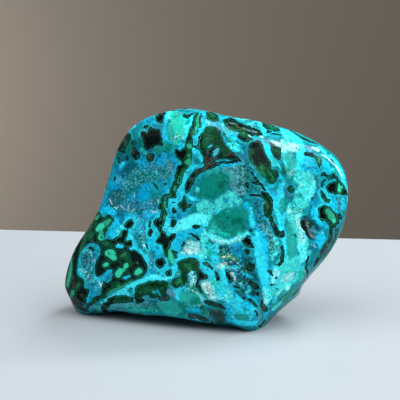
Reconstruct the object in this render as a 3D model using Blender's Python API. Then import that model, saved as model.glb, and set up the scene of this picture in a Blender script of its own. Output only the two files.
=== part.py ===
"""A polished freeform of chrysocolla and malachite: one stone, ground to a hand-sized
lozenge that stands on a small flat, with open hollows lined with tiny crystals.

Metres, +Z up. The origin is the middle of the stone's footprint box on the surface it
stands on; -Y is the show face and +X the viewer's right.
"""

import math
import random

import bmesh
import bpy
import numpy as np
from mathutils import Vector, geometry, noise

MM = 0.001

# Outline of the stone from the front, as (x, z) in millimetres, clockwise from the crown.
OUTLINE = [
    (-5.6, 79.2),
    (2.8, 77.3),
    (11.2, 74.3),
    (21.9, 71.3),
    (34.0, 67.3),
    (42.6, 62.7),
    (48.9, 56.7),
    (52.0, 49.3),
    (51.4, 39.5),
    (46.8, 25.4),
    (38.9, 16.0),
    (35.8, 11.5),
    (34.8, 8.0),
    (30.3, 4.7),
    (24.2, -0.2),
    (20.0, -7.0),
    (11.3, -6.6),
    (2.1, -3.0),
    (-8.0, -0.7),
    (-22.0, -0.2),
    (-34.4, -1.0),
    (-47.4, -2.7),
    (-51.0, 6.0),
    (-51.5, 14.0),
    (-48.1, 23.8),
    (-41.9, 33.7),
    (-37.7, 42.4),
    (-35.0, 50.9),
    (-32.2, 60.2),
    (-28.7, 66.7),
    (-23.5, 71.8),
    (-15.4, 75.8),
]
HEART = (0.0, 2.0, 40.0)
MIDLINE_TURN = -0.08
SHOW_DEPTH = 30.0
BACK_DEPTH = 27.0
PEBBLE_POWER = 2.5

# Flats ground on the stone: (azimuth, elevation, point on the flat), in degrees and
# millimetres. Azimuth 0 faces the viewer (-Y) and 90 faces +X.
SHOW_FLATS = {
    "main face": (-19.0, 5.0, (-10.0, -15.0, 35.0)),
    "right face": (24.0, 9.0, (22.0, -23.5, 20.0)),
    "upper bevel": (14.0, 52.0, (28.0, -9.0, 66.0)),
    "lower lip": (-22.0, -42.0, (-14.0, -14.5, 5.0)),
    "right undercut": (54.0, -30.0, (39.0, -9.0, 19.0)),
}
BACK_FLATS = {
    "back": (186.0, 10.0, (0.0, 21.0, 35.0)),
    "back left": (232.0, 14.0, (-42.0, 18.0, 30.0)),
    "back right": (142.0, -12.0, (34.0, 14.0, 40.0)),
    "back crown": (178.0, 48.0, (0.0, 17.0, 66.0)),
}
RIDGE_ROUND = 5.0
BACK_ROUND = 10.0
RIM_ROUND = 7.0

# Bites out of the body: (centre, reach along X, Y and Z, rounding of the lip).
BITES = {
    "arch under the front": ((-19.0, -22.0, -18.0), (28.0, 30.0, 26.0), 3.0),
    "chip on the lower right edge": ((36.5, -4.0, 1.0), (4.5, 8.0, 5.5), 0.8),
}
# The hand-polished faces wander by this much over this distance.
WANDER = 0.45
WANDER_SPAN = 17.0

# Hollows: (centre on the skin, azimuth faced, outline as (across, up) from the centre,
# depth on the left, depth on the right, depth of the sharp lip).
HOLLOWS = {
    "vug": (
        (36.0, -14.3, 36.5),
        24.0,
        [
            (-2.0, 4.6),
            (-3.1, 2.8),
            (-3.3, 1.1),
            (-2.2, -0.7),
            (-1.6, -2.5),
            (-0.2, -4.2),
            (1.6, -5.5),
            (1.9, -3.6),
            (3.5, -2.1),
            (3.9, -0.7),
            (2.4, 0.7),
            (1.6, 2.5),
            (0.0, 4.2),
        ],
        4.2,
        1.3,
        1.0,
    ),
    "rough pocket": (
        (13.7, -23.2, 19.7),
        0.0,
        [
            (-8.8, 11.4),
            (-5.8, 12.4),
            (-1.7, 11.0),
            (1.0, 8.7),
            (2.7, 5.5),
            (4.1, 1.0),
            (5.8, -3.5),
            (6.8, -7.3),
            (7.1, -10.4),
            (4.8, -11.1),
            (2.0, -9.0),
            (-1.0, -6.6),
            (-3.4, -4.5),
            (-5.8, -0.7),
            (-7.1, 2.8),
            (-9.2, 6.9),
        ],
        1.7,
        2.6,
        0.6,
    ),
    "three-cornered pit": (
        (14.6, -22.4, 33.7),
        6.0,
        [(0.3, 1.9), (-2.4, 0.2), (-0.6, -0.9), (1.9, -2.0), (1.1, 0.2)],
        1.8,
        1.8,
        1.2,
    ),
}
LIP_WIDTH = 1.6
FLOOR_STEP = 0.9
FLOOR_WANDER = 0.35
CRUSTS = {
    # node: (hollow it lines, crystal width, crust thickness, how far in from the lip)
    "vug_druse": ("vug", 0.8, 0.7, 0.75),
    "pocket_druse": ("rough pocket", 1.1, 0.7, 0.65),
}
GAP = 0.45

STONE_GRID = 24
SEED = 7

STONE_COLOUR = (0.02, 0.36, 0.42, 1.0)
VUG_COLOUR = (0.30, 0.27, 0.19, 1.0)
POCKET_COLOUR = (0.06, 0.30, 0.33, 1.0)


def facing(azimuth, elevation=0.0):
    """Unit vector that points out of a flat."""
    a, e = math.radians(azimuth), math.radians(elevation)
    return np.array([math.sin(a) * math.cos(e), -math.cos(a) * math.cos(e), math.sin(e)])


def beyond(points, flat):
    """How far each point lies outside a flat, in millimetres."""
    azimuth, elevation, through = flat
    return (points - np.array(through)) @ facing(azimuth, elevation)


def rounded_meet(distances, radius):
    """Where all the solids meet, with the edges between them rounded."""
    raised = np.stack(distances) + radius
    corner = np.linalg.norm(np.maximum(raised, 0), axis=0)
    return np.minimum(raised.max(axis=0), 0) + corner - radius


def smooth_closed(points, steps=12):
    """A closed Catmull-Rom curve through the points."""
    knots = np.array(points, float)
    before, after, beyond_next = (np.roll(knots, k, axis=0) for k in (1, -1, -2))
    t = np.linspace(0, 1, steps, endpoint=False)[:, None, None]
    curve = 0.5 * (
        2 * knots
        + (after - before) * t
        + (2 * before - 5 * knots + 4 * after - beyond_next) * t**2
        + (3 * knots - before - 3 * after + beyond_next) * t**3
    )
    return curve.transpose(1, 0, 2).reshape(-1, 2)


def outline_reach():
    """Angles about the heart and the outline's reach at each, for interpolation."""
    spokes = smooth_closed(OUTLINE) - np.array([HEART[0], HEART[2]])
    angle = np.arctan2(spokes[:, 1], spokes[:, 0])
    order = np.argsort(angle)
    angle, reach = angle[order], np.linalg.norm(spokes, axis=1)[order]
    wrapped = np.concatenate([angle - 2 * math.pi, angle, angle + 2 * math.pi])
    return wrapped, np.tile(reach, 3)


ANGLES, REACHES = outline_reach()


def beyond_pebble(points):
    """Radial distance outside the rounded pebble that fills the outline."""
    out = points - np.array(HEART)
    out[:, 1] -= MIDLINE_TURN * out[:, 0]
    reach = np.interp(np.arctan2(out[:, 2], out[:, 0]), ANGLES, REACHES)
    depth = np.where(out[:, 1] < 0, SHOW_DEPTH, BACK_DEPTH)
    spread = (np.hypot(out[:, 0], out[:, 2]) / reach) ** PEBBLE_POWER
    fill = (spread + (np.abs(out[:, 1]) / depth) ** PEBBLE_POWER) ** (1 / PEBBLE_POWER)
    return np.linalg.norm(out, axis=1) * (1 - 1 / np.maximum(fill, 1e-6))


def beyond_stone(points):
    """Signed distance to the ground and polished stone, before its hollows."""
    show = rounded_meet([beyond(points, f) for f in SHOW_FLATS.values()], RIDGE_ROUND)
    back = rounded_meet([beyond(points, f) for f in BACK_FLATS.values()], BACK_ROUND)
    body = rounded_meet([beyond_pebble(points), show, back], RIM_ROUND)
    for centre, reach, rounding in BITES.values():
        from_centre = (points - np.array(centre)) / np.array(reach)
        into_bite = (1 - np.linalg.norm(from_centre, axis=1)) * min(reach)
        body = rounded_meet([body, into_bite], rounding)
    return body


def skin_reach(spokes):
    """How far the skin lies from the heart along each spoke, in millimetres."""
    near, far = np.zeros(len(spokes)), np.full(len(spokes), 90.0)
    for _ in range(40):
        middle = (near + far) / 2
        outside = beyond_stone(np.array(HEART) + spokes * middle[:, None]) > 0
        far = np.where(outside, middle, far)
        near = np.where(outside, near, middle)
    wander = [noise.noise(Vector(s * far) / WANDER_SPAN) for s, far in zip(spokes, near)]
    return near + WANDER * np.array(wander)


def at_lift(spokes, lift):
    """Points on the spokes at a lift above the skin, as vectors in metres."""
    reach = skin_reach(spokes) + lift
    return [Vector(p) * MM for p in np.array(HEART) + spokes * reach[:, None]]


def edge_distance(points, corners):
    """Distance of each 2-D point from the closed outline."""
    a = np.array(corners)[:, None]
    along = np.roll(a, -1, axis=0) - a
    share = (((points - a) * along).sum(-1) / (along**2).sum(-1)).clip(0, 1)
    return np.linalg.norm(a + share[..., None] * along - points, axis=-1).min(axis=0)


def inside(points, corners):
    """Whether each 2-D point lies inside the closed outline."""
    a = np.array(corners)[:, None]
    b = np.roll(a, -1, axis=0)
    crosses = (a[..., 1] > points[:, 1]) != (b[..., 1] > points[:, 1])
    rise = np.where(a[..., 1] == b[..., 1], 1, b[..., 1] - a[..., 1])
    x = a[..., 0] + (points[:, 1] - a[..., 1]) / rise * (b[..., 0] - a[..., 0])
    return (crosses & (points[:, 0] < x)).sum(axis=0) % 2 == 1


def spokes_to(points, hollow):
    """Unit spokes from the heart to 2-D points on the hollow's tangent plane."""
    centre, azimuth = hollow[:2]
    across = np.array([math.cos(math.radians(azimuth)), math.sin(math.radians(azimuth)), 0])
    targets = np.array(centre) + points[:, :1] * across + points[:, 1:] * np.array([0, 0, 1])
    out = targets - np.array(HEART)
    return out / np.linalg.norm(out, axis=1, keepdims=True)


def depth_at(points, hollow):
    """How deep the hollow is below the skin at 2-D points of its plane."""
    _, _, corners, left, right, lip = hollow
    low, high = min(c[0] for c in corners), max(c[0] for c in corners)
    full = left + (right - left) * (points[:, 0] - low) / (high - low)
    falls = (edge_distance(points, corners) / LIP_WIDTH).clip(0, 1)
    lumps = [FLOOR_WANDER * noise.noise(Vector((x, y, left)) / 2.2) for x, y in points]
    return lip + (np.maximum(full, lip) - lip) * np.sqrt(falls) + lumps


def honeycomb(corners, step, margin):
    """Centres of a honeycomb of cells that lie a margin inside the outline."""
    reach = max(max(abs(x), abs(y)) for x, y in corners)
    row_step = step * math.sqrt(3) / 2
    rows = int(reach / row_step) + 1
    columns = int(reach / step) + 1
    cells = np.array(
        [
            ((i + 0.5 * (j % 2)) * step, j * row_step)
            for j in range(-rows, rows + 1)
            for i in range(-columns, columns + 1)
        ]
    )
    return cells[inside(cells, corners) & (edge_distance(cells, corners) > margin)]


def triangulated(corners, more):
    """2-D points and triangles that fill the outline through the given inner points."""
    outline = [Vector(c) for c in corners]
    points, _, faces, *_ = geometry.delaunay_2d_cdt(
        outline + [Vector(p) for p in more], [], [list(range(len(outline)))], 1, 1e-5
    )
    return np.array([tuple(p) for p in points]), faces


def slab(points, faces, upper, lower):
    """A closed body between two sets of points that share the same triangles."""
    body = bmesh.new()
    top = [body.verts.new(p) for p in upper]
    bottom = [body.verts.new(p) for p in lower]
    for face in faces:
        body.faces.new([top[i] for i in face])
        body.faces.new([bottom[i] for i in reversed(face)])
    rim = [e for e in body.edges if len(e.link_faces) == 1 and e.verts[0] in set(top)]
    place_of = {v: i for i, v in enumerate(top)}
    for edge in rim:
        a, b = (place_of[v] for v in edge.verts)
        body.faces.new((top[a], top[b], bottom[b], bottom[a]))
    bmesh.ops.recalc_face_normals(body, faces=body.faces)
    return body


def hollow_cutter(hollow):
    """The body that is taken out of the stone to leave the hollow."""
    corners = hollow[2]
    points, faces = triangulated(corners, honeycomb(corners, FLOOR_STEP, FLOOR_STEP * 0.5))
    spokes = spokes_to(points, hollow)
    return slab(points, faces, at_lift(spokes, 3.0), at_lift(spokes, -depth_at(points, hollow)))


def crystal_corners(x, y, width):
    """The six corners of a honeycomb cell: a lattice key and a spot for each."""
    for turn in range(30, 390, 60):
        spot = (
            x + math.cos(math.radians(turn)) * width / math.sqrt(3),
            y + math.sin(math.radians(turn)) * width / math.sqrt(3),
        )
        yield (round(spot[0] * 2 / width), round(spot[1] * 2 * math.sqrt(3) / width)), spot


def druse_crust(hollow, width, thickness, margin, rng):
    """A crust of low six-sided crystals that lines the hollow's floor."""

    def raised(spots, heights):
        spots = np.array(spots)
        spokes = spokes_to(spots, hollow)
        return at_lift(spokes, GAP + np.array(heights) - depth_at(spots, hollow))

    tips = honeycomb(hollow[2], width, margin + width * 0.5)
    rings = [dict(crystal_corners(x, y, width)) for x, y in tips]
    corners = {key: spot for ring in rings for key, spot in ring.items()}
    leans = [(x + rng.uniform(-0.25, 0.25) * width, y + rng.uniform(-0.25, 0.25) * width)
             for x, y in tips]
    body = bmesh.new()
    valleys = raised(list(corners.values()), [thickness * rng.uniform(0.35, 0.6) for _ in corners])
    high = {key: body.verts.new(spot) for key, spot in zip(corners, valleys)}
    low = {key: body.verts.new(p) for key, p in zip(corners, raised(list(corners.values()), 0.0))}
    peaks = raised(leans, [thickness * rng.uniform(0.8, 1.7) for _ in tips])
    for ring, peak in zip(rings, peaks):
        keys = list(ring)
        tip = body.verts.new(peak)
        for a, b in zip(keys, keys[1:] + keys[:1]):
            body.faces.new((high[a], high[b], tip))
        body.faces.new([low[k] for k in reversed(keys)])
    under = {high[k]: low[k] for k in corners}
    for edge in [e for e in body.edges if len(e.link_faces) == 1 and e.verts[0] in under]:
        a, b = edge.verts
        body.faces.new((a, b, under[b], under[a]))
    bmesh.ops.recalc_face_normals(body, faces=body.faces)
    return body


def polished_stone():
    """The stone's skin as a closed body, cut level where it stands."""
    ball = bmesh.new()
    bmesh.ops.create_cube(ball, size=2)
    bmesh.ops.subdivide_edges(ball, edges=ball.edges[:], cuts=STONE_GRID - 1, use_grid_fill=True)
    for vert in ball.verts:
        vert.co = [math.tan(c * math.pi / 4) for c in vert.co]
    spokes = np.array([v.co.normalized() for v in ball.verts])
    for vert, spot in zip(ball.verts, at_lift(spokes, 0.0)):
        vert.co = spot
    floor = bmesh.ops.bisect_plane(
        ball,
        geom=ball.verts[:] + ball.edges[:] + ball.faces[:],
        plane_co=(0, 0, 0),
        plane_no=(0, 0, -1),
        clear_outer=True,
    )
    rim = [e for e in floor["geom_cut"] if isinstance(e, bmesh.types.BMEdge)]
    bmesh.ops.contextual_create(ball, geom=rim)
    bmesh.ops.recalc_face_normals(ball, faces=ball.faces)
    return ball


def mineral(name, colour, roughness):
    """A plain mineral surface."""
    material = bpy.data.materials.new(name)
    material.use_nodes = True
    shader = material.node_tree.nodes["Principled BSDF"]
    shader.inputs["Base Color"].default_value = colour
    shader.inputs["Roughness"].default_value = roughness
    shader.inputs["Metallic"].default_value = 0.0
    return material


def place(body, name, shift, material=None):
    """Puts the body in the scene as a named object, moved over the origin."""
    bmesh.ops.translate(body, verts=body.verts, vec=shift)
    data = bpy.data.meshes.new(name)
    body.to_mesh(data)
    body.free()
    obj = bpy.data.objects.new(name, data)
    bpy.context.scene.collection.objects.link(obj)
    if material:
        data.materials.append(material)
    return obj


def cut(obj, cutter):
    """Takes the cutter's volume out of the object."""
    cutter.hide_render = True
    cutter.display_type = "WIRE"
    carve = obj.modifiers.new(cutter.name, "BOOLEAN")
    carve.operation = "DIFFERENCE"
    carve.solver = "EXACT"
    carve.object = cutter


def to_middle(body):
    """The shift along X and Y that brings the middle of the body's box over the origin."""
    low, high = (Vector([pick(v.co[k] for v in body.verts) for k in range(3)]) for pick in (min, max))
    middle = (low + high) / 2
    return Vector((-middle.x, -middle.y, 0.0))


def main():
    for obj in list(bpy.data.objects):
        bpy.data.objects.remove(obj)
    rng = random.Random(SEED)
    skin = polished_stone()
    shift = to_middle(skin)
    stone = place(skin, "stone", shift, mineral("polished stone", STONE_COLOUR, 0.12))
    stone.data.polygons.foreach_set("use_smooth", [True] * len(stone.data.polygons))
    for name, hollow in HOLLOWS.items():
        cut(stone, place(hollow_cutter(hollow), name + " cutter", shift))
    colours = {"vug_druse": VUG_COLOUR, "pocket_druse": POCKET_COLOUR}
    for name, (lined, width, thickness, margin) in CRUSTS.items():
        crust = druse_crust(HOLLOWS[lined], width, thickness, margin, rng)
        place(crust, name, shift, mineral(name.replace("_", " "), colours[name], 0.35))


main()
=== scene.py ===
"""The looks of a polished chrysocolla and malachite freeform, standing on a pale table.

Metres, +Z up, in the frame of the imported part. Shapes and patterns are worked out in
millimetres and turned to metres when a mesh is written.
"""

import math
import random

import bmesh
import bpy
import numpy as np
from mathutils import Matrix, Vector, kdtree, noise
from mathutils.bvhtree import BVHTree


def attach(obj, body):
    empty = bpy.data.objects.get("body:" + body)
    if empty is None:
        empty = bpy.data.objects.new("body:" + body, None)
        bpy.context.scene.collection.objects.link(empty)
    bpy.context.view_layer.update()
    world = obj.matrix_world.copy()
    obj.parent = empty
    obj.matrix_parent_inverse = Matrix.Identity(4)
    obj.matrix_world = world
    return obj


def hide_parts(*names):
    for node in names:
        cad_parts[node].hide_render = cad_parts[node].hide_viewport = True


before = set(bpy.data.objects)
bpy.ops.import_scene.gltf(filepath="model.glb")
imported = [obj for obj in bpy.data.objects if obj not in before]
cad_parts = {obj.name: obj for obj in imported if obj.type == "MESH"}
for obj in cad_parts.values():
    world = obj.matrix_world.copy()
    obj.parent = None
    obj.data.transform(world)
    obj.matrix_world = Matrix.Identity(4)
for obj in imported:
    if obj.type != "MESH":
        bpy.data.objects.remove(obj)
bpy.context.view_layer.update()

MM = 0.001

# ---------------------------------------------------------------- the stone's form, in millimetres
# Outline from the front, as (x, z), clockwise from the crown.
OUTLINE = [
    (-5.6, 79.2), (2.8, 77.3), (11.2, 74.3), (21.9, 71.3), (34.0, 67.3), (42.6, 62.7), (48.9, 56.7),
    (52.0, 49.3), (51.4, 39.5), (46.8, 25.4), (38.9, 16.0), (35.8, 11.5), (34.8, 8.0), (30.3, 4.7),
    (24.2, -0.2), (20.0, -7.0), (11.3, -7.6), (2.1, -7.0), (-8.0, -7.0), (-22.0, -7.0), (-34.4, -7.0),
    (-47.4, -4.0), (-51.0, 6.0), (-51.5, 14.0), (-48.1, 23.8), (-41.9, 33.7), (-37.7, 42.4),
    (-35.0, 50.9), (-32.2, 60.2), (-28.7, 66.7), (-23.5, 71.8), (-15.4, 75.8),
]
HEART = np.array((0.0, 2.0, 40.0))
MIDLINE_TURN = -0.08
SHOW_DEPTH = 30.0
BACK_DEPTH = 27.0
PEBBLE_POWER = 2.5
# Flats ground on the stone: (azimuth, elevation, point on the flat). Azimuth 0 faces -Y, 90 faces +X.
SHOW_FLATS = {
    "main face": (-19.0, 5.0, (-10.0, -15.0, 35.0)),
    "right face": (24.0, 9.0, (22.0, -23.5, 20.0)),
    "upper bevel": (14.0, 52.0, (28.0, -9.0, 66.0)),
    "lower lip": (-22.0, -42.0, (-14.0, -14.5, 5.0)),
    "right undercut": (54.0, -30.0, (39.0, -9.0, 19.0)),
}
BACK_FLATS = {
    "back": (186.0, 10.0, (0.0, 21.0, 35.0)),
    "back left": (232.0, 14.0, (-42.0, 18.0, 30.0)),
    "back right": (142.0, -12.0, (34.0, 14.0, 40.0)),
    "back crown": (178.0, 48.0, (0.0, 17.0, 66.0)),
}
RIDGE_ROUND = 5.0
BACK_ROUND = 10.0
RIM_ROUND = 7.0
# Bites out of the body: (centre, reach along X, Y and Z, rounding of the lip).
BITES = {
    "arch under the front": ((-16.0, -24.0, -20.9), (36.0, 44.0, 26.0), 1.5),
    "left end of the arch": ((-33.0, -14.0, -20.2), (24.5, 34.0, 24.4), 2.5),
    "right end of the arch": ((3.0, -22.0, -20.0), (24.0, 20.0, 24.0), 1.2),
    "chip on the lower right edge": ((36.5, -4.0, 1.0), (4.5, 8.0, 5.5), 0.8),
}
WANDER = 0.45
WANDER_SPAN = 17.0
# What brings the middle of the footprint's box over the origin.
TO_MIDDLE = np.array((0.412, 0.013, 0.0))

# Hollows: (centre on the skin, azimuth faced, outline as (across, up) from the centre,
# depth on the left, depth on the right, depth of the sharp lip).
HOLLOWS = {
    "vug": (
        (36.0, -14.3, 36.5), 24.0,
        [(-2.0, 4.6), (-3.1, 2.8), (-3.3, 1.1), (-2.2, -0.7), (-1.6, -2.5), (-0.2, -4.2), (1.6, -5.5),
         (1.9, -3.6), (3.5, -2.1), (3.9, -0.7), (2.4, 0.7), (1.6, 2.5), (0.0, 4.2)],
        4.2, 1.3, 1.0,
    ),
    "rough pocket": (
        (13.7, -23.2, 19.7), 0.0,
        [(-8.8, 11.4), (-5.8, 12.4), (-1.7, 11.0), (1.0, 8.7), (2.7, 5.5), (4.1, 1.0), (5.8, -3.5),
         (6.8, -7.3), (7.1, -10.4), (4.8, -11.1), (2.0, -9.0), (-1.0, -6.6), (-3.4, -4.5),
         (-5.8, -0.7), (-7.1, 2.8), (-9.2, 6.9)],
        1.7, 2.6, 0.6,
    ),
    "three-cornered pit": (
        (14.6, -22.4, 33.7), 6.0,
        [(0.3, 1.9), (-2.4, 0.2), (-0.6, -0.9), (1.9, -2.0), (1.1, 0.2)],
        1.8, 1.8, 1.2,
    ),
}
LIP_WIDTH = 1.6
FLOOR_WANDER = 0.35
FLOOR_SPAN = 2.2

# ---------------------------------------------------------------- the camera and its sheet
CAMERA_ELEVATION = math.radians(12.0)
CAMERA_DISTANCE = 450.0
LOOK_AT = np.array((-1.688, -9.987, 45.8))
SHEET_STEP = 0.35
SHEET_MIDDLE = (200.0, 200.0)
SHEET_WIDTH = 400
SIGHT = np.array((0.0, math.cos(CAMERA_ELEVATION), -math.sin(CAMERA_ELEVATION)))
SHEET_UP = np.array((0.0, math.sin(CAMERA_ELEVATION), math.cos(CAMERA_ELEVATION)))
EYE = LOOK_AT - SIGHT * CAMERA_DISTANCE

# The skin's mesh: squares along a side, the half sizes it is spread to, how far past the rim its
# fine part goes, and how its distance from the heart is found.
SKIN_GRID = 80
SKIN_SPREAD = (51.0, 22.0, 40.0)
FINE_PAST_RIM = 0.12
FARTHEST_SKIN = 90.0
HALVINGS = 24

# ---------------------------------------------------------------- the pattern, drawn on the camera's sheet
# Every mark is laid out in squares of the sheet, counted right and down from its top left corner.
# A stroke is a chain of rounds, each "across,down,radius"; ";" parts one stroke from the next.
# A patch is a closed smooth outline, each corner "across,down".

# Minerals, as display colours.
PIGMENTS = {
    "ink": "0a1a1a", "pitch": "06120f", "moss": "063420", "fir": "0b4a30", "olive": "3a4a2c",
    "fern": "24764c", "slate": "2c4444", "umber": "3a3a36", "smoke": "56646a", "jade": "2a9a7a",
    "mint": "32c8a4", "pale mint": "6fcfae", "sea": "0b8578", "deep sea": "06604f", "lagoon": "22a79f",
    "teal": "0a838f", "deep teal": "075a6e", "blue": "0a7ba2", "deep blue": "08506c", "steel": "4a9aa6",
    "pale steel": "7fc0c4", "mauve": "5f86a4", "sky": "08a0cc", "azure": "10c8f2", "cyan": "2cdef6",
    "bright cyan": "58fbff", "aqua": "42dcda", "pale aqua": "92f4f4", "frost": "c4f4f2",
    "cream": "d8e4cc", "turquoise": "16c9b6", "green aqua": "2ac8b4",
}

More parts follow.
